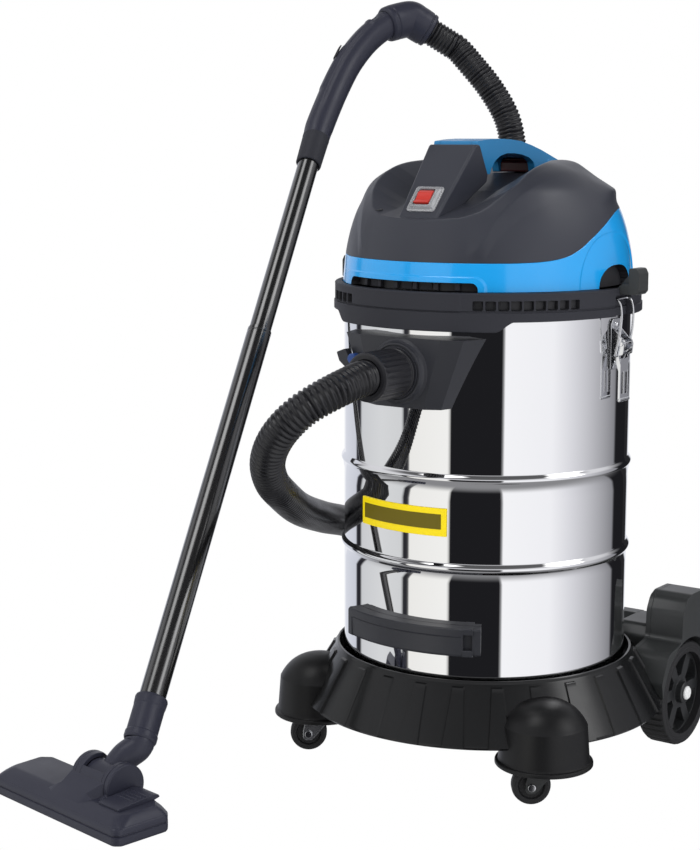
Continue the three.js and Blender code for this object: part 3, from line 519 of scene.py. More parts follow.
AW = axis(tuple(on_wand(0)), tuple(on_wand(100)))
g = Geo()
prof = fillet([(16.3, WLEN - 26), (18.6, WLEN - 26), (19.5, WLEN - 24.5), (19.7, WLEN - 16), (20.6, WLEN + 24.4), (20.9, WLEN + 25.6), (20.9, WLEN + 28), (17.0, WLEN + 28), (16.3, WLEN + 0.5)], [0.3, 0.6, 0.8, 2, 0.4, 0.4, 0.4, 0.3, 0.3], True, 3)
prof.append(prof[0])
lathe(g, prof, 64, AW)
make("grip_sleeve", g, RING_BLACK, "machine", "grip_collar", smooth=45)
for name, r, w, a, b, node, ends in (("wand_tube_upper", 15.9, 1.5, 540.0, WLEN - 0.5, "wand_upper", 0), ("wand_tube_lower", 17.5, 1.2, -8.0, 600.0, "wand_lower", 1)):
    g = Geo()
    pr = [(r - w, a), (r, a), (r, b - 9), (r - 0.25, b - 8), (r - 0.25, b - 6.5), (r, b - 5.5), (r, b), (r - w, b)] if ends else [(r - w, a), (r, a), (r, b), (r - w, b)]
    prof = fillet(pr, 0.45, True, 3)
    prof.append(prof[0])
    lathe(g, prof, 64, AW)
    make(name, g, TUBE, "machine", node, smooth=40)

# ------------------------------------------------------------------ floor nozzle
NOZ = Matrix.Translation((-278, -502, 0)) @ Matrix.Rotation(math.radians(-10.06), 4, "Z")


def placed(g, M):
    out = Geo()
    out.add(g.v, g.f, 0, M)
    out.m = list(g.m)
    return out


NI = np.array(NOZ.inverted())
to_local = lambda p: (NI @ np.append(p, 1.0))[:3]
h, w = 131.0, 44.0
TR = (24.0, 24.0, 42.0, 20.0)


def plan(k, z, deep=0.0):
    e = k * 1.2 + deep * float(np.interp(k, [2.0, 9.4], [0.0, 1.0]))
    p = [(-h + k, -w + e + 6), (-h + k + 6, -w + e), (h - k - 7, -w + e), (h - k, -w + e + 7), (h - k, w - k - 10), (h - k - 12, w - k), (-h + k + 12, w - k), (-h + k, w - k - 10)]
    out = []
    P = fillet(p, 5.0, True, 4)
    for i in range(len(P)):
        a, b = np.array(P[i]), np.array(P[(i + 1) % len(P)])
        n = max(1, int(np.linalg.norm(b - a) / 6))
        out += [tuple(a + (b - a) * k / n) + (z,) for k in range(n)]
    return out


def ring_at(k, z, n=220, deep=0.0):
    p = np.array(plan(k, 0.0, deep))[:, :2]
    c = np.vstack([p, p[:1]])
    s = np.concatenate([[0], np.cumsum(np.linalg.norm(np.diff(c, axis=0), axis=1))])
    u = np.linspace(0, 1, n, endpoint=False) * s[-1]
    x, y = np.interp(u, s, c[:, 0]), np.interp(u, s, c[:, 1])
    return [(a, b, z(a, b) if callable(z) else z) for a, b in zip(x, y)]


def top_z(x, y):
    """flat top of the nozzle, sloping up a little towards the rear"""
    z = 33.4 + 2.2 * (y + w) / (2 * w)
    return z


g = Geo()
R_ = []
for k, z in ((3.2, 1.4), (1.4, 1.6), (0.4, 3.0), (0.0, 5.0), (0.0, 12.4), (1.3, 13.4), (1.3, 14.4), (0.1, 15.4), (0.0, 18.6), (0.2, 20.4), (0.9, 22.4), (1.8, 23.2), (2.0, 24.0), (5.2, 29.0), (8.0, 32.2), (9.4, 33.4)):
    R_.append(ring_at(k, z, deep=10.0 if z > 23.5 else 0.0))
for k in (10.8, 13, 16):
    R_.append([(x, y, top_z(x, y)) for x, y, _ in ring_at(k, 0.0, deep=10.0)])
# a notch in the rear edge, where the neck comes down when it tilts back
for i, (k, zf) in enumerate(((5.2, 24.1), (8.0, 24.3), (9.4, 33.4), (10.8, None), (13, None), (16, None))):
    j = len(R_) - 6 + i
    R_[j] = [(x, 13.5 - 0.5 * max(0, i - 1), (top_z(x, 13.5) if zf is None else zf)) if (y > 0 and TR[0] - 27 < x < TR[0] + 31) else (x, y, z) for x, y, z in R_[j]]
v, f = rows(R_, True, False, False)
g.add(v, f)
n = len(R_[0])
last = [i + (len(R_) - 1) * n for i in range(n)]
g.f.append(tuple(last))
g.m.append(0)
# underside: a rim round the mouth, then the ceiling inside it
under = [ring_at(3.2, 1.4), ring_at(4.4, 1.4), ring_at(4.7, 4.8), ring_at(9.5, 4.8), ring_at(10.0, 6.0), ring_at(10.0, 12.0)]
v, f = rows(under, True, False, False)
g.add(v, f)
m = len(g.v) - n
g.f.append(tuple(reversed([m + i for i in range(n)])))
g.m.append(0)
make("nozzle_shell", placed(g, NOZ), TOOL, "nozzle", "nozzle_body", smooth=32, recalc=True, bevel=(0.25, 1, 40))

# cowl over the trunnion and cheeks beside it
g = Geo()
tx, ty, tz, tr = TR
for x0, x1, ro in ((tx - 38, tx - 29.2, 29.0), (tx + 29.2, tx + 38, 28.6)):
    pts = [(ty + ro * math.cos(math.radians(a)), tz + ro * math.sin(math.radians(a))) for a in range(-32, 218, 6)]
    pts = [(-21, 29), (-12, 34.6), (-7.4, 37)] + [p for p in reversed(pts) if p[0] > -ro and not (p[1] < tz - 5 and p[0] < ty)] + [(43, 24), (43, 8), (-8, 8), (-20, 20)]
    prism(g, [p for p in pts], x0, x1, "yz", 0, None)
make("nozzle_cheeks", placed(g, NOZ), TOOL, "nozzle", (), bevel=(2.0, 3, 28), smooth=40)

g = Geo()
ro, ri = 29.0, 23.4
steps = 30
# a slot in the rear of the cowl leaves room for the neck to tilt forward
for x0, x1, last_a in ((tx - 30, tx - 20.6, 66), (tx - 20.8, tx + 24.2, 138), (tx + 24, tx + 30, 66)):
    sec = []
    for i in range(steps + 1):
        a = math.radians(196 - (196 - last_a) * i / steps)
        sec.append((ty + ro * math.cos(a), tz + ro * math.sin(a)))
    for i in range(steps, -1, -1):
        a = math.radians(196 - (196 - last_a) * i / steps)
        sec.append((ty + ri * math.cos(a), tz + ri * math.sin(a)))
    prism(g, sec, x0, x1, "yz", 0)
# apron that runs from the cowl down on to the flat top, wide at its foot
foot = [(tx - 54, -29, 30.4), (tx - 40, -35.5, 26.6), (tx + 14, -35.5, 26.6), (tx + 30, -29, 30.4)]
mid = [(tx - 47, -19, 32.6), (tx - 38, -20, 40), (tx + 16, -20, 40), (tx + 29, -19, 32.6)]
a = math.radians(178)
top = [(tx - 38, ty + ro * math.cos(a), tz - 9), (tx - 37.5, ty + ro * math.cos(math.radians(160)), tz + ro * math.sin(math.radians(160))), (tx + 29, ty + ro * math.cos(math.radians(160)), tz + ro * math.sin(math.radians(160))), (tx + 30, ty + ro * math.cos(a), tz - 9)]
for A_, B_ in ((foot, mid), (mid, top)):
    g.add(A_ + B_, [(0, 1, 5, 4), (1, 2, 6, 5), (2, 3, 7, 6)])
block(g, tx - 46, tx + 30, -19, 8, 24, 33)
make("nozzle_cowl", placed(g, NOZ), TOOL, "nozzle", (), bevel=(1.2, 3, 30), smooth=60, recalc=False)

# turning elbow between the trunnion and the neck
topP, nxt = to_local(on_wand(-40.6)), to_local(on_wand(-47))
g = Geo()
rod(g, (tx - 28, ty, tz), (tx + 28, ty, tz), tr, 64, 1.2)
rod(g, (tx - 20, ty, tz), (tx + 20, ty, tz), 23.1, 72, 1.0)
eline, es = even(curve([topP, nxt, (27.5, 49, 66), (tx, ty + 4, tz + 2)], 20), 2.0)
tube(g, eline, 18.5 + 1.0 * smoothstep((6 - es) / 3) - 0.0, 56)
make("swivel_elbow", placed(g, NOZ), TOOL, "elbow", "nozzle_elbow", smooth=45)
g = Geo()
prof = fillet([(16, -40), (20.2, -40), (21.4, -37), (21.4, -30), (20.4, -28.5), (20.4, 6), (20.9, 8), (21.5, 17), (20.6, 20), (17.9, 20), (17.9, -9), (16, -9)], [0.4, 0.8, 0.8, 0.6, 0.8, 2, 2, 1, 0.8, 0.4, 0.3, 0.3], True, 3)
prof.append(prof[0])
lathe(g, prof, 64, AW)
make("swivel_neck", g, TOOL, "machine", "nozzle_neck", smooth=45)

# pedal with finger ribs, sole plate, brush ring
g = Geo()
pts = [(-w + 23, 33.8), (-w + 23, 37), (-w + 30, 38.2), (w - 14, 42.2), (w - 4, 40.6), (w - 2, 38.2), (w - 2.4, 36.8), (w - 14, 33.8)]
prism(g, pts, h - 65, h - 25, "yz")
for k in range(4):
    y = 4 + k * 6.5
    z = 38.2 + (y + w - 30) * 4.0 / 44
    prism(g, [(y - 1.1, z - 1), (y - 0.7, z + 0.7), (y + 0.7, z + 0.85), (y + 1.1, z - 0.8)], h - 61, h - 29, "yz")
make("pedal_cap", placed(g, NOZ), TOOL, "pedal", "nozzle_pedal", bevel=(0.7, 2, 30))
g = Geo()
outer = [(-h + 5.4, -w + 15), (-h + 13, -w + 6.6), (h - 14, -w + 6.6), (h - 5.6, -w + 15), (h - 5.6, w - 16), (h - 17, w - 5.4), (-h + 17, w - 5.4), (-h + 5.4, w - 16)]
inner = [(-h + 14, -w + 16), (h - 14, -w + 16), (h - 14, w - 26), (-h + 14, w - 26)]


def resample(p, n=160):
    c = np.vstack([p, p[:1]]).astype(float)
    s = np.concatenate([[0], np.cumsum(np.linalg.norm(np.diff(c, axis=0), axis=1))])
    u = np.linspace(0, s[-1], n, endpoint=False)
    return np.stack([np.interp(u, s, c[:, 0]), np.interp(u, s, c[:, 1])], 1)


def toward(p, n=160):
    """ring of points in the directions of n even turns about the middle"""
    c = np.vstack([p, p[:1]]).astype(float)
    out = []
    for k in range(n):
        a = 2 * math.pi * (k + 0.5) / n
        d = np.array([math.cos(a), math.sin(a)])
        best = None
        for i in range(len(c) - 1):
            e = c[i + 1] - c[i]
            M_ = np.array([[d[0], -e[0]], [d[1], -e[1]]])
            if abs(np.linalg.det(M_)) < 1e-9:
                continue
            tt, u = np.linalg.solve(M_, c[i])
            if tt > 0 and -1e-6 <= u <= 1 + 1e-6:
                best = tt if best is None else min(best, tt)
        out.append(tuple(d * best))
    return out


O2, I2 = toward(fillet(outer, 5)), toward(fillet(inner, 4))
v, f = rows([[(*p, 0.3) for p in I2], [(*p, 0.0) for p in O2], [(*p, 4.5) for p in O2], [(*p, 4.5) for p in I2]], True, False, False, loop=True)
g.add(v, f)
make("sole_plate", placed(g, NOZ), SOLE, "nozzle", "nozzle_sole", bevel=(0.5, 2, 40))
g = Geo()
bo, bi = [(-h + 15, -w + 17), (h - 15, -w + 17), (h - 15, w - 27), (-h + 15, w - 27)], [(-h + 19, -w + 21), (h - 19, -w + 21), (h - 19, w - 31), (-h + 19, w - 31)]
B2, C2 = toward(bo), toward(bi)
v, f = rows([[(*p, 5.0) for p in C2], [(*p, 5.0) for p in B2], [(*p, 11.5) for p in B2], [(*p, 11.5) for p in C2]], True, False, False, loop=True)
g.add(v, f)
make("brush_ring", placed(g, NOZ), BRISTLE, "brush", "nozzle_brush", bevel=(0.4, 1, 40))

# ------------------------------------------------------------------ tank
def bump(z, zc, hh, out):
    d = np.clip(abs(z - zc) / hh, 0, 1)
    return out * math.cos(d * math.pi / 2) ** 1.35


TANK = Geo()
prof = [(0, 120.4), (60, 120.4), (120, 120.4), (181, 120.4)] + fillet([(181, 120.4), (190, 120.4), (190, 140)], 6.5, False, 7)[1:]
z = 145.0
while z < 611.5:
    near = min(abs(z - 296), abs(z - 410))
    prof.append((190 + bump(z, 296, 7.2, 4.0) + bump(z, 410, 7.2, 4.0), z))
    z += 0.6 if near < 8 else (3.0 if near < 14 else 12.0)
prof += [(190, 611.2), (189.6, 612), (188.4, 612), (188, 611.2)]
inner = []
z = 606.0
while z > 135:
    near = min(abs(z - 296), abs(z - 410))
    inner.append((188 + bump(z, 296, 6.5, 4.0) + bump(z, 410, 6.5, 4.0), z))
    z -= 1.2 if near < 8 else 14.0
prof += inner + fillet([(188, 132), (188, 122.4), (180, 122.4)], 5, False, 5) + [(0, 122.4)]
lathe(TANK, prof, 288)
make("steel_tank", TANK, STEEL, "machine", "tank", smooth=50, wn=False)
g = Geo()
prof = fillet([(184, 612.3), (190.6, 612.3), (190.6, 618.5), (184, 618.5)], 1.6, True, 4)
prof.append(prof[0])
lathe(g, prof, 128)
make("gasket_ring", g, SEAL, "machine", "tank_gasket")

# ------------------------------------------------------------------ dolly
CAST = (176.0, -138.0)
g = Geo()
NA = 26 * 40
az = np.arange(NA) * 360.0 / NA
inside = [(0, 120), (100, 120), (190.8, 120), (191, 121), (191, 127), (196.5, 127), (196.5, 152.6), (197.0, 153.8)]
slope = [(198.6, 154.3), (199.8, 154.0), (200.6, 152.8), (201.2, 150.8)] + [(201.6 + (244 - 201.6) * t, 150.2 + (80.6 - 150.2) * t) for t in np.linspace(0, 1, 30)] + [(244.0, 79.4), (243.2, 78.6)]
under = [(240.6, 78.2), (238.8, 79.6), (222, 108), (200.5, 140), (199, 136), (199, 114), (100, 114), (0, 114)]
V, idx = [], []
for i, (r, z) in enumerate(inside + slope + under):
    rr = np.full(NA, float(r))
    zz = np.full(NA, float(z))
    aa = az - 4.9
    j = i - len(inside) - 4
    if 0 <= j < 30:
        t = j / 29
        P_ = 360.0 / 26
        # the columns spread with the pads, so the edge of a pad stays one clean line
        phase = (az + P_ / 2) % P_ - P_ / 2
        half, h0 = 2.0 + 1.35 * t, 7.5 * P_ / 40
        spread_ = np.sign(phase) * np.where(np.abs(phase) < h0, np.abs(phase) * half / h0, half + (np.abs(phase) - h0) * (P_ / 2 - half) / (P_ / 2 - h0))
        aa = az + spread_ - phase - 4.9
        edge_ = (np.abs(phase) < h0).astype(float)
        mask = edge_ * float(smoothstep((t - 0.045) / 0.03))
        cap = edge_ * float(smoothstep((t - 0.045) / 0.02) * smoothstep((0.10 - t) / 0.02))
        rr = rr + 2.0 * mask + 0.5 * cap
        zz = zz + 1.2 * mask + 0.3 * cap
    if r < 1e-6:
        idx.append([len(V)] * NA)
        V.append((0, 0, float(z)))
    else:
        base = len(V)
        idx.append(list(range(base, base + NA)))
        V += list(zip(rr * np.sin(np.radians(aa)), -rr * np.cos(np.radians(aa)), zz))
F = []
for A_, B_ in zip(idx[:-1], idx[1:]):
    for k in range(NA):
        q = (k + 1) % NA
        fc = list(dict.fromkeys([A_[k], A_[q], B_[q], B_[k]]))
        if len(fc) >= 3:
            F.append(tuple(fc))
g.add(V, F)
make("dolly_skirt", g, GLOSS, "machine", "base_dolly", smooth=34, wn=False)

g = Geo()
top = curve([(53.2, 107.0, 0), (51.2, 110.5, 0), (46.6, 117.0, 0), (38.6, 125.0, 0), (27.5, 131.6, 0), (13, 135.8, 0), (0.01, 137.0, 0)], 8)
prof = [(0, 137.0)] + [(float(p[0]), float(p[1])) for p in top[::-1][1:]] + fillet([(53.2, 107.0), (54.3, 105.2), (57.6, 62), (58.4, 59.6), (61.6, 58.6), (62.2, 57.0), (62.2, 54.0), (61, 53)], [0.3, 1.2, 2.5, 1.2, 1, 0.6, 0.8, 0.3], False, 4) \
    + [(56.2, 53), (53, 66), (49, 96), (6, 96), (6, 118), (0, 118)]
for s in (-1, 1):
    lathe(g, prof, 128, Matrix.Translation((s * CAST[0], CAST[1], 0)))
make("castor_hoods", g, DOME_BLACK, "machine", (), smooth=28)

g = Geo()
WC = (175.0, 73.0)
arch = [(150, 150), (152, 190), (162, 207), (176, 213), (215, 213), (232, 205), (240, 150), (262, 110), (254.2, 86)]
well = [(WC[0] + 79 * math.cos(math.radians(a)), WC[1] + 79 * math.sin(math.radians(a))) for a in np.linspace(9, 171, 34)]
arch_f = fillet(arch + [(95.5, 86), (92, 105), (110, 142)], [9, 20, 16, 16, 12, 10, 20, 14, 0, 0, 8, 20], True, 6)
k0 = min(range(len(arch_f)), key=lambda i: abs(arch_f[i][0] - 254.2) + abs(arch_f[i][1] - 86))
k1 = min(range(len(arch_f)), key=lambda i: abs(arch_f[i][0] - 95.5) + abs(arch_f[i][1] - 86))
poly = arch_f[:k0 + 1] + well + arch_f[k1:]
inner_wall = fillet([(150, 150), (152, 190), (162, 207), (176, 213), (215, 213), (232, 205), (240, 150), (262, 110), (250, 74), (100, 74), (92, 105), (110, 142)], [9, 20, 16, 16, 12, 10, 20, 14, 4, 4, 8, 20], True, 6)
block_out = fillet([(150, 60), (150, 150), (158, 166), (225, 166), (232, 150), (232, 100), (205, 60)], [4, 14, 8, 8, 8, 14, 6], True, 4)
for s in (-1, 1):
    lo, hi = sorted((s * 177.0, s * 226.0))
    prism(g, poly, lo, hi, "yz")
    lo, hi = sorted((s * 170.0, s * 177.0))
    prism(g, inner_wall, lo, hi, "yz")
    lo, hi = sorted((s * 128.0, s * 171.0))
    prism(g, block_out, lo, hi, "yz")
prism(g, fillet([(196, 96), (196, 160), (204, 166), (225, 166), (232, 158), (232, 96)], 5, True, 4), -130, 130, "yz")
# ribs that carry the axle through the inner walls
for s in (-1, 1):
    rod(g, (s * 127, WC[0], WC[1]), (s * 178.5, WC[0], WC[1]), 13, 40, 1.0, bore=5.6)
make("wheel_housings", g, POD_BLACK, "machine", (), bevel=(1.6, 3, 30), smooth=34)

# ------------------------------------------------------------------ rear wheels
paint("rear_axle", CHROME)
for side, s in SIDES:
    g = Geo()
    A = axis((s * 182.0, 175, 73), (s * 222.0, 175, 73))
    lug = lambda a, r, z: (-2.3 * (0.5 + 0.5 * math.tanh(9 * (math.cos(42 * a) - 0.35)))) if r > 71.2 else 0.0
    prof = [(57, 0.4), (57.6, 0), (69.2, 0), (70.4, 0.5), (71.0, 1.4), (72.9, 4.5), (73, 5.5), (73, 20), (73, 34.5), (72.9, 35.5), (71.0, 38.6), (70.4, 39.5), (69.2, 40), (66.5, 40), (66.0, 39.4), (63.5, 39.4), (63.0, 40), (57.6, 40), (57, 39.6), (57, 20)]
    prof.append(prof[0])
    lathe(g, prof, 420, A, 0, lug)
    W_ = Matrix.Translation((0, 175, 73))
    x0, x1 = sorted((s * 194.0, s * 212.0))

    def sector2(r0, r1, a0, a1, n, rr0=None):
        o = [(r1 * math.cos(a0 + (a1 - a0) * i / n), r1 * math.sin(a0 + (a1 - a0) * i / n)) for i in range(n + 1)]
        i_ = [(r0 * math.cos(a1 - (a1 - a0) * i / n), r0 * math.sin(a1 - (a1 - a0) * i / n)) for i in range(n + 1)]
        return o + i_
    for k in range(6):
        a = k * math.pi / 3
        # one sixth of the disc between two windows
        inner_r, outer_r = 23.0, 57.4
        pts = []
        for r, da in ((14.0, 0.5236), (23.5, 0.5236), (24.0, 0.30), (30, 0.262), (38, 0.212), (46, 0.165), (51.5, 0.142), (54.0, 0.22), (54.8, 0.36), (55.0, 0.5236), (57.4, 0.5236)):
            pts.append((r * math.cos(a + da), r * math.sin(a + da)))
        for i in range(1, 8):
            b = a + 0.5236 - 1.0472 * i / 8
            pts.append((57.4 * math.cos(b), 57.4 * math.sin(b)))
        for r, da in reversed(((14.0, 0.5236), (23.5, 0.5236), (24.0, 0.30), (30, 0.262), (38, 0.212), (46, 0.165), (51.5, 0.142), (54.0, 0.22), (54.8, 0.36), (55.0, 0.5236), (57.4, 0.5236))):
            pts.append((r * math.cos(a - da), r * math.sin(a - da)))
        prism(g, pts, x0, x1, "yz", 1, W_)
    lo, hi = 0.0, 40.0
    prof = fillet([(5.5, 0), (13.4, 0), (15, 1.2), (15, 12), (18.5, 12.5), (18.5, 30), (15, 30.5), (15, 38.8), (13.4, 40), (5.5, 40)], 0.8, True, 3)
    prof.append(prof[0])
    lathe(g, prof, 64, A, 1)
    make(f"road_wheel_{side}", g, [TYRE, WHEEL], f"rear_roller_{side}", f"rear_wheel_{side}", bevel=(0.6, 2, 40), smooth=38)
    g = Geo()
    A = axis((s * 222.4, 175, 73), (s * 227.0, 175, 73))
    lathe(g, fillet([(0, 0), (9.4, 0), (9.4, 2.0), (7.6, 3.9), (4.6, 4.5), (4.2, 3.7), (0, 3.7)], [0, 0.3, 0.8, 0.8, 0.3, 0.3, 0], False, 4), 48, A)
    make(f"wheel_cap_{side}", g, WHITE, f"rear_roller_{side}", f"hub_cap_{side}", smooth=40)

# ------------------------------------------------------------------ castors
for side, s in SIDES:
    M = Matrix.Translation((s * CAST[0], CAST[1], 0)) @ Matrix.Rotation(math.atan2(-0.585, -0.811), 4, "Z")
    g = Geo()
    arm = fillet([(-16, 58), (16, 58), (23.5, 30), (23.5, 19.5), (20, 16.5), (12.5, 16.5), (8, 20), (-16, 49)], [1, 1, 5, 3, 2, 2, 4, 3], True, 4)
    for y0, y1 in ((-14, -11.6), (11.6, 14)):
        prism(g, arm, y0, y1, "xz", 0)
    block(g, -16, 16, -14, 14, 55.8, 58.6, 0)
    lathe(g, fillet([(0, 57), (17, 57), (18, 58.4), (18, 62.4), (16.4, 64), (5.6, 64), (5.6, 113), (4.6, 114), (0, 114)], 0.7, False, 3), 56, None, 0)
    fork_mat = PLATE if side == "left" else POD_BLACK
    make(f"castor_fork_{side}", placed(g, M), fork_mat, f"caster_{side}", f"caster_fork_{side}", bevel=(0.5, 2, 35))
    g = Geo()
    A = axis((16, -10, 25), (16, 10, 25))
    prof = fillet([(3.5, 1.2), (7, 0.8), (8, 3.4), (15.5, 3.6), (17, 0.4), (21.4, 0.2), (24.2, 2.6), (25, 6), (25, 14), (24.2, 17.4), (21.4, 19.8), (17, 19.6), (15.5, 16.4), (8, 16.6), (7, 19.2), (3.5, 18.8)], 0.9, True, 3)
    prof.append(prof[0])
    lathe(g, prof, 80, A)
    make(f"castor_wheel_{side}", placed(g, M), TYRE, f"caster_roller_{side}", f"caster_wheel_{side}", smooth=40)
    g = Geo()
    rod(g, (16, -16.6, 25), (16, 16.6, 25), 2.9, 24, 0.4)
    for y0, y1 in ((-16.8, -14.3), (14.3, 16.8)):
        rod(g, (16, y0, 25), (16, y1, 25), 5, 6 if y0 < 0 else 32, 0.6)
    make(f"castor_axle_{side}", placed(g, M), CHROME, f"caster_{side}", f"caster_axle_{side}", smooth=35)

# ------------------------------------------------------------------ front grip bar and label
g = Geo()
arc(g, fillet([(190.4, 224), (206.6, 224), (208.4, 222.4), (208.4, 214), (207.0, 212.0), (206.4, 190), (205.0, 187), (202.6, 187), (202.6, 218.5), (190.4, 218.5)], [0.2, 1, 1.2, 1.6, 1.6, 1.5, 1, 0.8, 1, 0.2], True, 3), -24.9, 24.4, 60)
arc(g, fillet([(190.4, 224), (205.0, 224), (207.6, 221.2), (207.6, 189), (205.8, 187), (190.4, 187)], [0.2, 1.6, 1.6, 1.6, 1.6, 0.2], True, 3), -27.2, -24.7, 5)
arc(g, fillet([(190.4, 223), (203.6, 223), (205.6, 221), (205.6, 190), (203.6, 188), (190.4, 188)], [0.2, 1.6, 1.6, 1.6, 1.6, 0.2], True, 3), 27.6, 30.6, 5)
arc(g, fillet([(190.4, 224), (207.6, 224), (208.4, 222.8), (208.4, 216), (190.4, 216)], 0.6, True, 3), 24.2, 27.8, 5)
arc(g, fillet([(190.4, 195.5), (206.6, 195.5), (207.4, 194.5), (207.4, 188.2), (206.6, 187), (190.4, 187)], 0.6, True, 3), 24.2, 27.8, 5)
arc(g, [(190.4, 217), (200.5, 217), (200.5, 194.6), (190.4, 194.6)], 24.2, 27.8, 5)
make("front_grip_bar", g, PANEL, "machine", "front_grip", bevel=(0.8, 2, 35), smooth=36)
g = Geo()
arc(g, fillet([(190.2, 337), (191.6, 337), (192.1, 337.6), (192.1, 372.4), (191.6, 373), (190.2, 373)], 0.3, True, 2), -24, 17, 48, 0)
arc(g, fillet([(191.9, 346.2), (192.5, 346.2), (192.5, 365.6), (191.9, 365.6)], 0.15, True, 2), -22.3, 14.9, 44, 1)
make("yellow_plate", g, [YELLOW, OLIVE], "machine", "label_plate", bevel=(0.25, 2, 40))

# ------------------------------------------------------------------ inlet panel, boss, button
def tank_hit(a, b, R=190.2):
    """where the line from a to b meets the tank"""
    a, b = np.array(a, float), np.array(b, float)
    d = b - a
    A_ = d[0] ** 2 + d[1] ** 2
    B_ = 2 * (a[0] * d[0] + a[1] * d[1])
    C_ = a[0] ** 2 + a[1] ** 2 - R * R
    disc = max(B_ * B_ - 4 * A_ * C_, 0)
    t = (-B_ - math.sqrt(disc)) / (2 * A_)
    return a + d * min(max(t, 0.0), 1.0)


f0 = [(-60, 588), (61, 588), (36, 500), (-35, 500)]
f1 = [(-88, 588), (88, 588), (56, 500), (-56, 500)]
f2 = [(-112, 588), (112, 588), (76, 500), (-76, 500)]


def spread(p, n=14):
    out = []
    for i in range(len(p)):
        a, b = np.array(p[i], float), np.array(p[(i + 1) % len(p)], float)
        out += [tuple(a + (b - a) * k / n) for k in range(n)]
    return out


g = Geo()
A0, A1_, A2_ = spread(f0), spread(f1), spread(f2)
ring1 = [(x, -197.5, z) for x, z in A1_]
back = [tuple(tank_hit(p, (u, -120, w_))) for p, (u, w_) in zip(ring1, A2_)]
v, f = rows([[(x, -208, z) for x, z in A0], ring1, back], True, False, False)
g.add(v, f)
g.f.append(tuple(range(len(A0))))
g.m.append(0)
# small ear beside the release button
prism(g, fillet([(-84, 568), (-97, 563), (-93, 552), (-78, 540), (-72, 548)], [2, 1.5, 1.5, 2, 2], True, 3), -207.0, -197.0, "xz")
make("inlet_shield", g, PANEL, "machine", "inlet_panel", bevel=(1.3, 3, 9), smooth=24)
g = Geo()
prof = fillet([(24, 10), (30, 10), (30, 37.8), (42.4, 37.8), (41.8, 38.6), (39.2, 40.4), (37.6, 43.2), (36.6, 46.6), (34.4, 47), (33.6, 45.6), (32.6, 45.6), (31.9, 47), (24, 47)], [0.2, 0.2, 0.2, 0.2, 0.3, 2, 2, 0.8, 0.5, 0.3, 0.3, 0.4, 0.3], True, 4)
prof.append(prof[0])
lathe(g, prof, 128, axis((0, -170, 545), (0, -220, 545)))
make("inlet_flange", g, PANEL, "machine", "inlet_boss", smooth=40)
g = Geo()
lathe(g, fillet([(0, 0), (7, 0), (7, 14.2), (5.6, 16), (0, 16.2)], [0, 0.2, 1.4, 1.0, 0], False, 4), 48, axis((-70, -197, 556), (-70, -213, 556)))
make("release_push", g, BUTTON_BLUE, "release_button", "inlet_release_button")
paint("inlet_deflector", GRAPHITE_DARK)

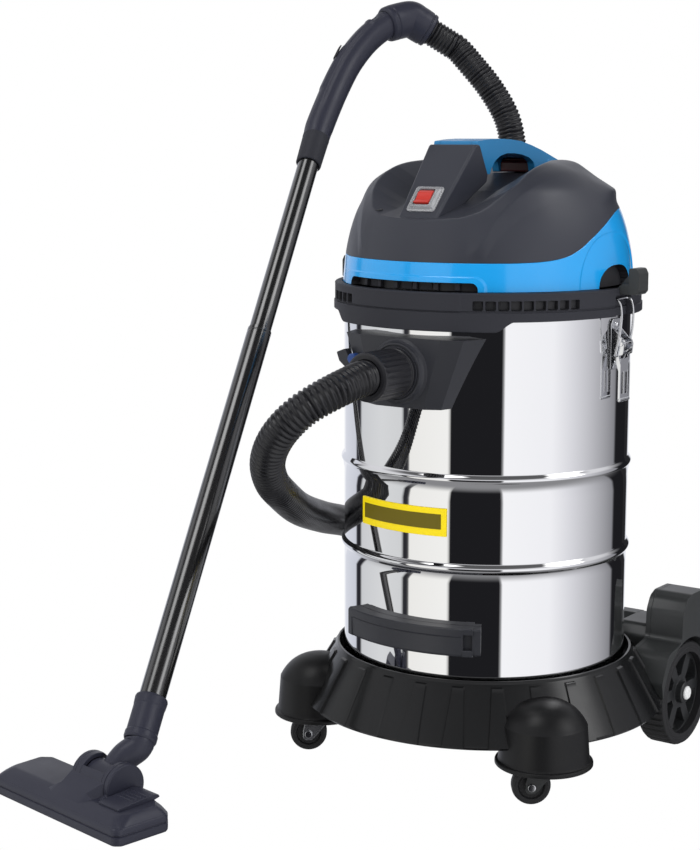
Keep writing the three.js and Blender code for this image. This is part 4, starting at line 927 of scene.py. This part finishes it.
# ------------------------------------------------------------------ latches
for side, s in SIDES:
    M = Matrix.Rotation(0.0 if s > 0 else math.pi, 4, "Z")
    g = Geo()
    pl = fillet([(-14, 541), (14, 541), (14, 600), (9, 606), (-9, 606), (-14, 600)], [4, 4, 4, 4, 4, 4], True, 4)
    prism(g, pl, 190.5, 192.6, "yz")
    for y0, y1 in ((-10.6, -8.2), (8.2, 10.6)):
        prism(g, fillet([(191.5, 557), (206, 566.5), (210.6, 571), (210.6, 579), (205, 582.5), (191.5, 596)], [0.5, 4, 3.5, 3.5, 4, 0.5], True, 4), y0, y1, "xz")
    for z in (548.5, 598.0):
        lathe(g, fillet([(0, 192), (3.6, 192), (3.2, 193.6), (1.6, 194.6), (0, 194.8)], 0.4, False, 3), 32, axis((192.0, 0, z), (193.0, 0, z)) @ Matrix.Translation((0, 0, -192)))
    make(f"latch_plate_{side}", placed(g, M), CHROME, "machine", f"latch_bracket_{side}", bevel=(0.4, 2, 35))
    g = Geo()
    rod(g, (206, -13.9, 575), (206, 13.9, 575), 2.0, 24, 0.3)
    for y0, y1 in ((-14.5, -13.5), (13.5, 14.5)):
        rod(g, (206, y0, 575), (206, y1, 575), 3.1, 32, 0.4)
    make(f"latch_rivet_{side}", placed(g, M), CHROME, "machine", f"latch_pin_{side}")
    g = Geo()
    cheek = fillet([(203, 560), (209, 561), (210.4, 575), (206, 579.4), (201.6, 575), (196.6, 566.5), (196.6, 556.5), (200, 549), (203.1, 540), (203.1, 504), (206.2, 504), (206.2, 548)], [1, 3, 3.6, 3.6, 3, 2, 2, 3, 3, 0.3, 0.3, 3], True, 4)
    for y0, y1 in ((-13.2, -11.2), (11.2, 13.2)):
        prism(g, cheek, y0, y1, "xz")
    # pressed face with two long windows and a rolled end
    prism(g, fillet([(-11.4, 538), (11.4, 538), (11.4, 556), (-11.4, 556)], 1.5, True, 3), 203.2, 205.2, "yz")
    for a, b in ((-12.2, -7.4), (-2.2, 2.2), (7.4, 12.2)):
        prism(g, fillet([(a, 506), (b, 506), (b, 540), (a, 540)], 1.0, True, 3), 203.3, 205.3, "yz")
    prism(g, fillet([(-12.2, 503.4), (12.2, 503.4), (12.2, 510.5), (-12.2, 510.5)], 1.5, True, 3), 203.2, 205.4, "yz")
    rod(g, (204.6, -13.2, 503.2), (204.6, 13.2, 503.2), 2.4, 24, 0.8)
    make(f"latch_lever_plate_{side}", placed(g, M), CHROME, f"latch_lever_body_{side}", f"latch_lever_{side}", bevel=(0.35, 2, 35), smooth=34)
    g = Geo()
    wire = [(200, 559.5), (201.2, 566), (203.2, 575), (206.2, 592), (207.4, 612), (205.8, 624), (202.4, 630.2), (198.6, 631.4)]
    left = [(x, -15.9, z) for x, z in wire]
    right = [(x, 15.9, z) for x, z in wire]
    path = [(200, -13.0, 559.3), (200, -15.2, 559.3)] + left[1:-1] + [(199.4, -15.0, 631.3), (198.6, -12, 631.4), (198.6, 0, 631.4), (198.6, 12, 631.4), (199.4, 15.0, 631.3)] + right[1:-1][::-1] + [(200, 15.2, 559.3), (200, 13.0, 559.3)]
    bl, _ = even(curve(path, 10), 1.2)
    tube(g, bl, 1.55, 16)
    make(f"latch_wire_{side}", placed(g, M), CHROME, f"latch_bail_body_{side}", f"latch_bail_{side}", smooth=60)
    g = Geo()
    prism(g, fillet([(214.5, 637.6), (225, 637.6), (229, 642), (229, 664), (225.5, 671), (214.5, 671)], [0.5, 3, 4, 5, 4, 3], True, 5), -13, 13, "xz")
    prism(g, fillet([(200.6, 637.6), (216, 637.6), (216, 651), (206, 651), (200.6, 648)], [0.5, 0.5, 1, 2, 2], True, 3), -12.4, 12.4, "xz")
    for y in (-8, 0, 8):
        prism(g, [(202, 650), (215, 650), (215, 660), (211, 660)], y - 1.1, y + 1.1, "xz")
    make(f"latch_hook_{side}", placed(g, M), POD_BLACK, "head", f"latch_catch_{side}", bevel=(1.0, 3, 30), smooth=34)

# ------------------------------------------------------------------ motor head
def snap(s, z, sd, h):
    """moves grid points that lie within h of a shape's edge on to the edge; sd(s, z) is the distance outside it"""
    d = sd(s, z)
    e = 0.05
    gx, gz = (sd(s + e, z) - sd(s - e, z)) / (2 * e), (sd(s, z + e) - sd(s, z - e)) / (2 * e)
    m = np.abs(d) < h
    return np.where(m, s - d * gx, s), np.where(m, z - d * gz, z)


def round_box(cs, cz, hs, hz, r):
    def sd(s, z):
        qx, qz = np.abs(s - cs) - (hs - r), np.abs(z - cz) - (hz - r)
        return np.hypot(np.maximum(qx, 0), np.maximum(qz, 0)) + np.minimum(np.maximum(qx, qz), 0) - r
    return sd


def dome_shape(cs, z0, hs, top, p=2.4):
    """arch standing on z0: superellipse above it"""
    def sd(s, z):
        u, v_ = np.abs(s - cs) / hs, np.maximum(z - z0, 0) / (top - z0)
        k = (u ** p + v_ ** p) ** (1 / p)
        return (k - 1) * min(hs, top - z0) * 0.9
    return sd


def union(*sds):
    return lambda s, z: np.minimum.reduce([f(s, z) for f in sds])


DOME = [(192, 645.3), (190.6, 660), (189.2, 675), (186.6, 692), (181.2, 715), (174, 736), (166, 752), (156, 769), (142, 783), (128, 792.6), (112, 799.6), (90, 803.6), (60, 805.4), (30, 806), (2, 806.1)]
dome_line, dome_s = even(curve([(r, 0, z) for r, z in DOME], 16), 0.8)
DR, DZ = dome_line[:, 0], dome_line[:, 2]
REAR = [(192, 645.3), (190.6, 660), (189.2, 675), (186.6, 692), (181.0, 715), (174.6, 735), (170.6, 746), (168.6, 756), (164.8, 765.6), (158, 770.6), (142, 780.8), (128, 790.8), (116, 799.0), (106, 802.4), (90, 803.8), (60, 805.4), (30, 806), (2, 806.1)]
rear_line, rear_s = even(curve([(r, 0, z) for r, z in REAR], 16), 0.8)
dome_r = lambda z: np.interp(z, DZ, DR)
dome_at = lambda s: (np.interp(s, dome_s, DR), np.interp(s, dome_s, DZ))
split_az = [0, 40, 50, 55.8, 60, 64.2, 70, 76, 84, 92, 99.3, 108, 125, 150, 180]
split_z = [680.5, 680.5, 681.4, 683, 685, 688.4, 696.5, 707.5, 720, 730.5, 737.5, 741.5, 742, 742, 742]


def split(a):
    a = np.abs((np.asarray(a) + 180) % 360 - 180)
    k = np.linspace(0, 180, 361)
    base = np.interp(k, split_az, split_z)
    ker = np.hanning(13)
    ker /= ker.sum()
    sm = np.convolve(np.concatenate([base[6:0:-1], base, base[-2:-8:-1]]), ker, "valid")
    return np.interp(a, k, sm)


def deck(y):
    y = np.asarray(y, float)
    base = np.where(y < -60, 735 + (y + 166) * 0.283, np.where(y < 58, 765 + (y + 60) * 0.169, 785.0))
    return base


def smin(a, b, k):
    h_ = np.clip(0.5 + 0.5 * (b - a) / k, 0, 1)
    return b * (1 - h_) + a * h_ - k * h_ * (1 - h_)


def floor_w(y):
    return np.interp(y, [-190, -160, -136, -107, -78, 9, 60, 134], [74, 58, 50, 54, 50.5, 36.5, 36.5, 40])


def cover_z(x, y, zd):
    out_ = np.maximum(np.abs(x) - floor_w(y), 0)
    back_ = np.maximum(y - 119, 0)
    grade = np.interp(y, [-165, -150, -120, -80, 60, 134], [0.10, 0.17, 0.42, 0.55, 0.52, 0.6])
    soft = np.sqrt(out_ ** 2 + 0.8 ** 2) - 0.8
    bank = deck(y) + grade * soft + 1.6 * back_
    return smin(zd, bank, np.interp(y, [-170, -120, -60, 60], [1.8, 2.4, 2.4, 1.8]))


SW_AZ = [22, 27.5, 30.8, 34.2, 39.0, 45.4, 51.6, 58.6, 82.0, 96.0]
SW_Z = [688, 697.5, 713.7, 732.5, 748.5, 763.0, 772.0, 779.0, 792.0, 796.0]
UP_AZ = [12, 25, 32, 40, 48, 58, 70, 90]
UP_Z = [737, 737, 746, 760.5, 772.4, 784.2, 792, 799.6]


def swoosh(a, z):
    """raised crease that sweeps from the band up to the shoulder on each side of the front"""
    b = np.abs((np.asarray(a) + 180) % 360 - 180)
    zc, zu = np.interp(b, SW_AZ, SW_Z), np.interp(b, UP_AZ, UP_Z)
    high, low_ = np.maximum(zu - zc, 7.0) + 4, np.clip(zc - split(b) - 2.0, 4.0, 27.0)
    amp = 2.5 * smoothstep((b - 22.5) / 6.5) * smoothstep((94 - b) / 30)
    d = z - zc
    return amp * np.clip(1 - np.where(d > 0, d / high, -d / low_), 0, 1)


def shell(cols, nrow, inset_r=0.0, inset_z=0.0, lip=True, cut=None):
    a = np.arange(cols) * 360.0 / cols
    zs = split(a)
    s0 = np.interp(zs + 0.35, DZ, dome_s)
    rings = []
    if lip:
        for dr, dz in ((-2.6, 0.3), (-0.7, 0.0), (-0.15, 0.35)):
            r = dome_r(zs) + dr
            rings.append((r * np.sin(np.radians(a)), -r * np.cos(np.radians(a)), zs + dz))
    for i in range(nrow):
        t = i / (nrow - 1)
        s = s0 + (dome_s[-1] - s0) * t
        q = s + (0.6 if i == 0 else 0.0)
        r, z = dome_at(q)
        q2 = q * rear_s[-1] / dome_s[-1]
        wr = smoothstep((np.abs((a + 180) % 360 - 180) - 84) / 24) * smoothstep((t - 0.02) / 0.1)
        r, z = r + (np.interp(q2, rear_s, rear_line[:, 0]) - r) * wr, z + (np.interp(q2, rear_s, rear_line[:, 2]) - z) * wr
        r = r - inset_r + swoosh(a, z)
        r = np.maximum(r, 0.6)
        x, y = r * np.sin(np.radians(a)), -r * np.cos(np.radians(a))
        rings.append((x, y, cover_z(x, y, z) - inset_z))
    return rings


def add_rings(g, rings, cap=True, mi=0):
    n = len(rings[0][0])
    v, f = rows([list(zip(*map(lambda q: [float(u) for u in q], r))) for r in rings], True, False, cap)
    g.add(v, f, mi)


g = Geo()
add_rings(g, shell(720, 150))
add_rings(g, shell(180, 40, 2.6, 2.6, False))
make("head_cover", g, GRAPHITE, "head", "top_cover", smooth=55, wn=False, recalc=True)

# switch tower with its flat sloping face
g = Geo()
TW = [(-174.0, 729.2, 28.6), (-166, 738.1, 29.0), (-128, 780.6, 32.4), (-91, 822.0, 35.6), (-88, 823.6, 35.8), (-80, 823.6, 36), (-60, 786, 36), (-62, 776, 36), (-150, 728, 31)]
n = len(TW)
v = [(-w_, y, z) for y, z, w_ in TW] + [(w_, y, z) for y, z, w_ in TW]
f = [(i, (i + 1) % n, n + (i + 1) % n, n + i) for i in range(n)] + [tuple(range(n)), tuple(reversed(range(n, 2 * n)))]
g.add(v, f)
make("switch_tower", g, GRAPHITE, "head", (), bevel=(2.6, 4, 30), smooth=36)
# small drain hole in the cover at the left of the tower: no opening is cut, and a dark disc with a small rim paints
# the shade inside the hole
FACE = math.atan2(823 - 738, -90 + 166)
FM = Matrix.Translation((0, -166, 738)) @ Matrix.Rotation(FACE, 4, "X")
g = Geo()
hx, hy = -71.0, -151.0
hz = float(cover_z(np.array([hx]), np.array([hy]), np.array([np.interp(-math.hypot(hx, hy), -DR, DZ)]))[0])
HM = Matrix.Translation((hx, hy, hz)) @ Matrix.Rotation(math.radians(14), 4, "X")
hole_prof = [(0, 0.12), (3.1, 0.12), (3.5, 0.35), (3.9, 0.35), (4.3, -0.4)]
lathe(g, hole_prof, 40, HM @ Matrix.Diagonal((1.35, 1.0, 1.0, 1.0)))
make("cover_hole_painted_shade", g, GRAPHITE_DARK, "head", (), wn=False)

g = Geo()
outer = fillet([(-21, 4), (21, 4), (21, 44), (-21, 44)], 4.5, True, 5)
mid_ = fillet([(-18.6, 6.4), (18.6, 6.4), (18.6, 41.6), (-18.6, 41.6)], 3.5, True, 5)
up = fillet([(-16.2, 8.6), (16.2, 8.6), (16.2, 39.4), (-16.2, 39.4)], 3, True, 5)
inn = fillet([(-12.2, 11.3), (12.2, 11.3), (12.2, 36.7), (-12.2, 36.7)], 1.6, True, 5)
rings = [[(*p, 0.2) for p in outer], [(*p, 1.8) for p in outer], [(*p, 2.6) for p in mid_], [(*p, 6.0) for p in up], [(*p, 6.4) for p in inn], [(*p, -3) for p in inn]]
v, f = rows(rings, True, False, False)
g.add(v, f, 0, FM)
make("clear_boot", g, BOOT, "head", "switch_boot", bevel=(0.5, 2, 30), smooth=40)
g = Geo()
prism(g, [(13.4, -2.5), (34.6, -2.5), (34.6, 5.6), (29, 8.0), (24, 6.4), (19, 6.2), (13.4, 8.6)], -10.8, 10.8, "yz", 0, FM)
make("red_rocker", g, SWITCH_RED, "rocker", "switch_rocker", bevel=(0.9, 3, 25), smooth=40)

# ------------------------------------------------------------------ blue band
cols = 720
a = np.arange(cols) * 360.0 / cols
sa = np.radians((a + 180) % 360 - 180) * 191.0
R0 = 191.0
front_hole = round_box(math.radians(-3) * R0, 643.0, math.radians(31) * R0, 13.6, 9.0)
front_lip = round_box(math.radians(-5.5) * R0, 643.0, math.radians(36.5) * R0, 21.0, 15.0)
side_c = math.radians(92) * R0
side_hole = union(dome_shape(side_c, 640, math.radians(13.5) * R0, 673.5), dome_shape(-side_c, 640, math.radians(13.5) * R0, 673.5))
side_arch = union(dome_shape(side_c, 636, math.radians(23.5) * R0, 713), dome_shape(-side_c, 636, math.radians(23.5) * R0, 713))
holes = union(front_hole, side_hole)
zs = split(a)
S_, Z_ = [], []
nb = 62
for i in range(nb):
    t = i / (nb - 1)
    S_.append(sa.copy())
    Z_.append(645.6 + (zs - 0.5 - 645.6) * t)
S_, Z_ = np.array(S_), np.array(Z_)
S1, Z1 = snap(S_, Z_, holes, 0.85)
Z1[0], Z1[-1] = Z_[0], Z_[-1]
D = holes(S1, Z1)
inside_ = D < -0.35
lip_ = front_lip(S1, Z1)
arch_ = side_arch(S1, Z1)
R_b = dome_r(Z1)
R_b = R_b + 1.3 * smoothstep((0.6 - lip_) / 2.2) - 1.5 * smoothstep((2.4 - arch_) / 2.6) * (1 - 0.0)
R_b = np.where(inside_, R_b - 11.0, R_b)
A1 = S1 / R0
rings = [(R_b[0] - 4) * 0]
g = Geo()
rr = []
x0_, y0_ = (R_b[0] - 3) * np.sin(A1[0]), -(R_b[0] - 3) * np.cos(A1[0])
rr.append([tuple(p) for p in zip(x0_, y0_, np.full(cols, 645.5))])
for i in range(nb):
    rr.append([tuple(p) for p in zip(R_b[i] * np.sin(A1[i]), -R_b[i] * np.cos(A1[i]), Z1[i])])
for dr, dz in ((0.25, 0.35), (0.9, 0.5), (3.0, 0.4)):
    rr.append([tuple(p) for p in zip((R_b[-1] - dr) * np.sin(A1[-1]), -(R_b[-1] - dr) * np.cos(A1[-1]), Z1[-1] + dz)])
v, f = rows(rr, True, False, False)
g.add(v, f)
flat_in = np.vstack([np.zeros((1, cols), bool), inside_, np.zeros((3, cols), bool)])
flat_in[0] = inside_[0]
fl_ = flat_in.ravel()
g.m = [1 if all(fl_[q] for q in fc) or (sum(fl_[q] for q in fc) >= 1) else 0 for fc in g.f]
make("blue_shell", g, [BLUE, GRAPHITE_DARK], "head", "blue_band", smooth=34, wn=False)
# dark insert with ribs seen through the front arch
g = Geo()
for c in (-24.5, -15.5, -6.5, 2.5, 11.5, 20.0):
    arc(g, fillet([(179.2, 646), (186.4, 646), (187.0, 647), (186.6, 655.4), (179.2, 656)], 0.6, True, 2), c - 0.9, c + 0.9, 2)
for c in (-20, -2, 7):
    arc(g, [(179.0, 646), (183.0, 646), (183.0, 655), (179.0, 655)], c - 2.6, c + 2.6, 4)
make("vent_ribs", g, RING_BLACK, "head", (), bevel=(0.4, 2, 35))

# ------------------------------------------------------------------ head ring
cols = 900
a = np.arange(cols) * 360.0 / cols
an = (a + 180) % 360 - 180
RR = 203.8
sa = np.radians(an) * RR
slots = []
for c in np.linspace(28.2, 63.8, 9):
    slots.append(round_box(math.radians(c) * RR, 629.5, math.radians(1.86) * RR, 6.0, 1.2))
    slots.append(round_box(-math.radians(c) * RR, 629.5, math.radians(1.86) * RR, 6.0, 1.2))
ends = []
all_slots = union(*slots)
z_low = 610 - 13.0 * smoothstep((41.5 - np.abs(an)) / 7.5)
notch = union(round_box(math.radians(90) * RR, 610, 20.5, 26.2, 3.0), round_box(-math.radians(90) * RR, 610, 20.5, 26.2, 3.0))
levels = [0.0, 0.012, 0.04] + list(np.linspace(0.08, 0.93, 12)) + [0.965, 1.0]
S_, Z_, K_ = [], [], []
for t in levels:
    S_.append(sa.copy())
    Z_.append(z_low + (621.0 - z_low) * t)
    K_.append(np.full(cols, -1.6 if t == 0 else (-0.5 if t == 0.012 else (-0.9 if t == 1.0 else 0.0))))
for z, dr in ((621.4, -1.9), (622.4, -1.9), (622.8, -0.8)):
    S_.append(sa.copy())
    Z_.append(np.full(cols, z))
    K_.append(np.full(cols, dr))
for z in list(np.linspace(623.2, 636.6, 20)) + [637.6, 639.4, 641.0, 641.9]:
    S_.append(sa.copy())
    Z_.append(np.full(cols, z))
    K_.append(np.full(cols, 0.0))
for z, dr in ((642.5, 0.15), (643.6, 0.15), (644.5, -0.5), (645.0, -1.6), (645.1, -3.0)):
    S_.append(sa.copy())
    Z_.append(np.full(cols, z))
    K_.append(np.full(cols, dr))
S_, Z_, K_ = np.array(S_), np.array(Z_), np.array(K_)
S1, Z1 = snap(S_, Z_, all_slots, 0.55)
hold = (Z_ < 623.3) | (Z_ > 637)
S1, Z1 = np.where(hold, S_, S1), np.where(hold, Z_, Z1)
Ds, Dn = all_slots(S1, Z1), notch(S1, Z1)
deg = np.degrees(S1 / RR)
# the part in front of the arch stands a little prouder than the rest of the upper band
proud = smoothstep((deg + 47) / 0.8) * smoothstep((22.5 - deg) / 0.8)
upper = (Z1 > 622.6)
Rg = RR + K_ - np.where(upper, 1.3 * (1 - proud), 0.0)
in_s = Ds < -0.25
Rg = np.where(in_s, Rg - 6.0, Rg)
Rg = Rg - 7.0 * smoothstep((0.4 - Dn) / 0.8)
g = Geo()
rr = [[tuple(p) for p in zip(192.0 * np.sin(np.radians(an)), -192.0 * np.cos(np.radians(an)), z_low + 0.2)]]
for i in range(len(S1)):
    A1 = S1[i] / RR
    rr.append([tuple(p) for p in zip(Rg[i] * np.sin(A1), -Rg[i] * np.cos(A1), Z1[i])])
rr.append([tuple(p) for p in zip(193.0 * np.sin(np.radians(an)), -193.0 * np.cos(np.radians(an)), np.full(cols, 645.1))])
rr.append([tuple(p) for p in zip(193.0 * np.sin(np.radians(an)), -193.0 * np.cos(np.radians(an)), np.full(cols, 624.0))])
rr.append([tuple(p) for p in zip(192.0 * np.sin(np.radians(an)), -192.0 * np.cos(np.radians(an)), np.full(cols, 618.8))])
v, f = rows(rr, True, False, False, loop=True)
g.add(v, f)
flat_in = np.vstack([np.zeros((1, cols), bool), in_s, np.zeros((3, cols), bool)]).ravel()
g.m = [1 if sum(flat_in[q] for q in fc) >= 2 else 0 for fc in g.f]
prof = [(26, 618.8), (191.6, 618.8), (193.4, 624), (26, 624)]
prof.append(prof[0])
lathe(g, prof, 96)
make("head_collar", g, [RING_BLACK, GRAPHITE_DARK], "head", "head_ring", smooth=36, wn=False)

# ------------------------------------------------------------------ carry handle
g = Geo()
side_p = [(-82, 823.4), (-81, 828), (-58, 830), (-30, 831), (0, 830), (28, 827.5), (55, 822), (81, 815.5), (106, 808), (126, 802), (131, 792), (122, 787), (64, 786.3), (60, 800), (48, 806), (30, 810), (10, 812), (-10, 812), (-26, 809), (-38, 803), (-47, 794), (-51, 786), (-61.2, 786), (-81.2, 822.6)]
sp = fillet(side_p, [1, 2, 30, 40, 40, 40, 40, 40, 20, 6, 5, 4, 3, 8, 20, 20, 20, 20, 20, 12, 8, 1, 1, 2], True, 4)
mid_p = [(-82, 823.4), (-81, 828), (-58, 830), (-30, 831), (0, 830), (28, 827.5), (55, 822), (81, 815.5), (104, 808.6), (112, 806.2), (54, 806.2), (48, 806), (30, 810), (10, 812), (-10, 812), (-26, 809), (-38, 803), (-47, 794), (-51, 786), (-61.2, 786), (-81.2, 822.6)]
mp_ = fillet(mid_p, [1, 2, 30, 40, 40, 40, 40, 40, 5, 0.5, 0.5, 20, 20, 20, 20, 20, 12, 8, 1, 1, 2], True, 4)
prism(g, sp, -33, -23, "yz")
prism(g, sp, 23, 33, "yz")
prism(g, mp_, -24.5, 24.5, "yz")
prism(g, [(112, 786.8), (124, 787.5), (129, 792), (125, 800), (108, 806.6)], -24, 24, "yz")
make("grab_handle", g, HANDLE, "head", "carry_handle", bevel=(2.2, 4, 32), smooth=40)
g = Geo()
for s in (-1, 1):
    A = axis((s * 32.6, 100, 798), (s * 34.2, 100, 798))
    prof = fillet([(2.6, -1), (5.6, -1), (5.6, 0.9), (4.6, 1.5), (2.6, 1.5)], 0.3, True, 2)
    prof.append(prof[0])
    lathe(g, prof, 40, A, 0)
    lathe(g, [(0, 0.4), (2.8, 0.4)], 32, A, 1)
make("handle_screws", g, [HANDLE, GRAPHITE_DARK], "head", (), smooth=40)
g = Geo()
prism(g, fillet([(66, 786.6), (106, 786.6), (106, 799), (100, 803), (72, 803), (66, 799)], 2.5, True, 4), -22.4, 22.4, "yz")
for k in range(6):
    y = 70 + k * 6.4
    prism(g, [(y, 802.4), (y + 3, 802.4), (y + 2.4, 804.2), (y + 0.6, 804.2)], -20, 20, "yz")
make("handle_filler", g, CORE_RED, "head", "handle_core", bevel=(0.8, 3, 30))
g = Geo()
prof = fillet([(0, -13), (6.9, -13), (6.9, 0), (10, 0), (10, 3), (8.6, 5), (7.4, 9), (7.0, 15), (4.4, 15.4), (4.4, 2), (0, 2)], 0.6, False, 3)
lathe(g, prof, 48, axis((0, 201, 634), (0, 216, 634)), 0, lambda a, r, z: -0.5 * (0.5 + 0.5 * math.cos(10 * a)) if 8 < r < 10.1 and z > 2 else 0.0)
make("cord_gland", g, RING_BLACK, "head", "cable_gland")
for node, mat in (("motor_housing", GRAPHITE_DARK), ("motor_rotor", COPPER), ("float_cage", NATURAL), ("float_ball", NATURAL), ("filter_cartridge", PAPER)):
    paint(node, mat)
# ------------------------------------------------------------------ studio
scene = bpy.context.scene
scene.view_settings.view_transform = "Standard"
scene.view_settings.look = "None"
scene.view_settings.exposure = 0.0
scene.view_settings.gamma = 1.0

world = bpy.data.worlds.new("studio")
scene.world = world
world.use_nodes = True
nt = world.node_tree
nt.nodes.clear()
new, link = nt.nodes.new, nt.links.new
out = new("ShaderNodeOutputWorld")
geo = new("ShaderNodeTexCoord")
sep = new("ShaderNodeSeparateXYZ")
link(geo.outputs["Generated"], sep.inputs["Vector"])


def calc(op, a, b=None, c=None):
    n = new("ShaderNodeMath")
    n.operation = op
    for i, x in enumerate((a, b, c)):
        if x is None:
            continue
        if isinstance(x, (int, float)):
            n.inputs[i].default_value = x
        else:
            link(x, n.inputs[i])
    return n.outputs[0]


# direction round the horizon: 0.5 is -Y, 0.75 is +X
neg_y = calc("MULTIPLY", sep.outputs["Y"], -1.0)
turn = calc("ADD", calc("MULTIPLY", calc("ARCTAN2", sep.outputs["X"], neg_y), 0.5 / math.pi), 0.5)
ramp = new("ShaderNodeValToRGB")
link(turn, ramp.inputs["Fac"])
cr_ = ramp.color_ramp
cr_.interpolation = "LINEAR"
STOPS = [(-180, (0.02, 0.02, 0.022)), (-168, (0.02, 0.02, 0.022)), (-164, (0.80, 0.81, 0.86)), (-131, (0.84, 0.85, 0.90)), (-127, (0.70, 0.72, 0.79)), (-98, (0.62, 0.64, 0.71)), (-95.5, (0.022, 0.022, 0.028)), (-89.5, (0.022, 0.022, 0.028)),
         (-87, (0.62, 0.63, 0.65)), (-60, (0.70, 0.71, 0.72)), (-38.5, (0.66, 0.67, 0.68)), (-37, (0.025, 0.025, 0.03)), (-32.5, (0.03, 0.03, 0.035)), (-31, (0.88, 0.87, 0.84)), (2.4, (0.93, 0.925, 0.90)),
         (3.6, (0.012, 0.012, 0.014)), (44.6, (0.012, 0.012, 0.014)), (46, (0.96, 0.96, 0.98)), (85, (0.92, 0.92, 0.95)), (104, (0.72, 0.72, 0.76)), (130, (0.46, 0.46, 0.49)), (155, (0.24, 0.24, 0.26)), (158, (0.012, 0.012, 0.014)), (180, (0.012, 0.012, 0.014))]
while len(cr_.elements) > 1:
    cr_.elements.remove(cr_.elements[-1])
for i, (a, c) in enumerate(STOPS):
    pos = min(1.0, max(0.0, (a + 180) / 360))
    e = cr_.elements[0] if i == 0 else cr_.elements.new(pos)
    e.position = pos
    e.color = (*c, 1)
# softer panorama for steep directions: bright ceiling, dim ground
rise = new("ShaderNodeMapRange")
rise.interpolation_type = "SMOOTHSTEP"
rise.inputs["From Min"].default_value, rise.inputs["From Max"].default_value = 0.22, 0.55
link(sep.outputs["Z"], rise.inputs["Value"])
top_mix = new("ShaderNodeMix")
top_mix.data_type = "RGBA"
ceil = new("ShaderNodeValToRGB")
link(sep.outputs["Z"], ceil.inputs["Fac"])
for k, (p_, c_) in enumerate(((0.0, 0.62), (0.36, 0.66), (0.60, 0.70), (0.74, 0.12), (1.0, 0.08))):
    e = ceil.color_ramp.elements[k] if k < 2 else ceil.color_ramp.elements.new(p_)
    e.position = p_
    e.color = (c_, c_, c_ * 1.04, 1)


def soft_box(az_deg, el_deg, inner_deg, outer_deg, power):
    u, w_ = math.radians(az_deg), math.radians(el_deg)
    dot = new("ShaderNodeVectorMath")
    dot.operation = "DOT_PRODUCT"
    dot.inputs[1].default_value = (math.sin(u) * math.cos(w_), -math.cos(u) * math.cos(w_), math.sin(w_))
    link(geo.outputs["Generated"], dot.inputs[0])
    mr = new("ShaderNodeMapRange")
    mr.interpolation_type = "SMOOTHSTEP"
    mr.inputs["From Min"].default_value, mr.inputs["From Max"].default_value = math.cos(math.radians(outer_deg)), math.cos(math.radians(inner_deg))
    mr.inputs["To Max"].default_value = power
    link(dot.outputs["Value"], mr.inputs["Value"])
    return mr.outputs["Result"]


glow = calc("ADD", soft_box(-29, 67, 5, 17, 3.6), soft_box(110, 40, 6, 17, 3.4))
lit = new("ShaderNodeVectorMath")
lit.operation = "ADD"
link(ceil.outputs["Color"], lit.inputs[0])
link(glow, lit.inputs[1])
link(lit.outputs["Vector"], top_mix.inputs["B"])
link(rise.outputs["Result"], top_mix.inputs["Factor"])
link(ramp.outputs["Color"], top_mix.inputs["A"])
low = new("ShaderNodeMapRange")
low.interpolation_type = "SMOOTHSTEP"
low.inputs["From Min"].default_value, low.inputs["From Max"].default_value = -0.35, -0.75
link(sep.outputs["Z"], low.inputs["Value"])
low_mix = new("ShaderNodeMix")
low_mix.data_type = "RGBA"
low_mix.inputs["B"].default_value = (0.25, 0.25, 0.26, 1)
link(low.outputs["Result"], low_mix.inputs["Factor"])
link(top_mix.outputs["Result"], low_mix.inputs["A"])

path_ = new("ShaderNodeLightPath")
seen, mirror_, fill = new("ShaderNodeBackground"), new("ShaderNodeBackground"), new("ShaderNodeBackground")
seen.inputs["Color"].default_value, seen.inputs["Strength"].default_value = (1, 1, 1, 1), 1.0
link(low_mix.outputs["Result"], mirror_.inputs["Color"])
mirror_.inputs["Strength"].default_value = 1.0
fill.inputs["Color"].default_value, fill.inputs["Strength"].default_value = (0.97, 0.98, 1.0, 1), 0.85
m1, m2 = new("ShaderNodeMixShader"), new("ShaderNodeMixShader")
link(path_.outputs["Is Glossy Ray"], m1.inputs["Fac"])
link(fill.outputs[0], m1.inputs[1])
link(mirror_.outputs[0], m1.inputs[2])
link(path_.outputs["Is Camera Ray"], m2.inputs["Fac"])
link(m1.outputs[0], m2.inputs[1])
link(seen.outputs[0], m2.inputs[2])
link(m2.outputs[0], out.inputs["Surface"])


def lamp(name, at, aim, size, power, colour=(1, 1, 1), glossy=True, spread=None):
    ld = bpy.data.lights.new(name, "AREA")
    ld.shape, ld.size, ld.size_y, ld.energy, ld.color = "RECTANGLE", size[0], size[1], power, colour
    if spread:
        ld.spread = math.radians(spread)
    o = bpy.data.objects.new(name, ld)
    scene.collection.objects.link(o)
    o.location = at
    o.rotation_mode = "QUATERNION"
    o.rotation_quaternion = (Vector(aim) - Vector(at)).to_track_quat("-Z", "Y")
    o.visible_glossy = glossy
    return o


lamps = [lamp("key", (-1.6, -2.6, 2.9), (0.1, 0, 0.4), (1.6, 1.6), 46, (1, 0.99, 0.97), False),
         lamp("fill", (3.0, -0.6, 1.6), (0.1, 0, 0.4), (1.2, 2.0), 32, (0.97, 0.98, 1.0), False)]

bm = bmesh.new()
bmesh.ops.create_grid(bm, x_segments=1, y_segments=1, size=14.0)
me = bpy.data.meshes.new("floor")
bm.to_mesh(me)
bm.free()
floor_mat = material("studio_floor", (0.93, 0.93, 0.93), 0.9, spec=0.0, vary=0.004)
me.materials.append(floor_mat)
floor = bpy.data.objects.new("floor", me)
scene.collection.objects.link(floor)
floor.location = (0, 0, -0.0006)
floor.visible_glossy = False
floor.visible_camera = False
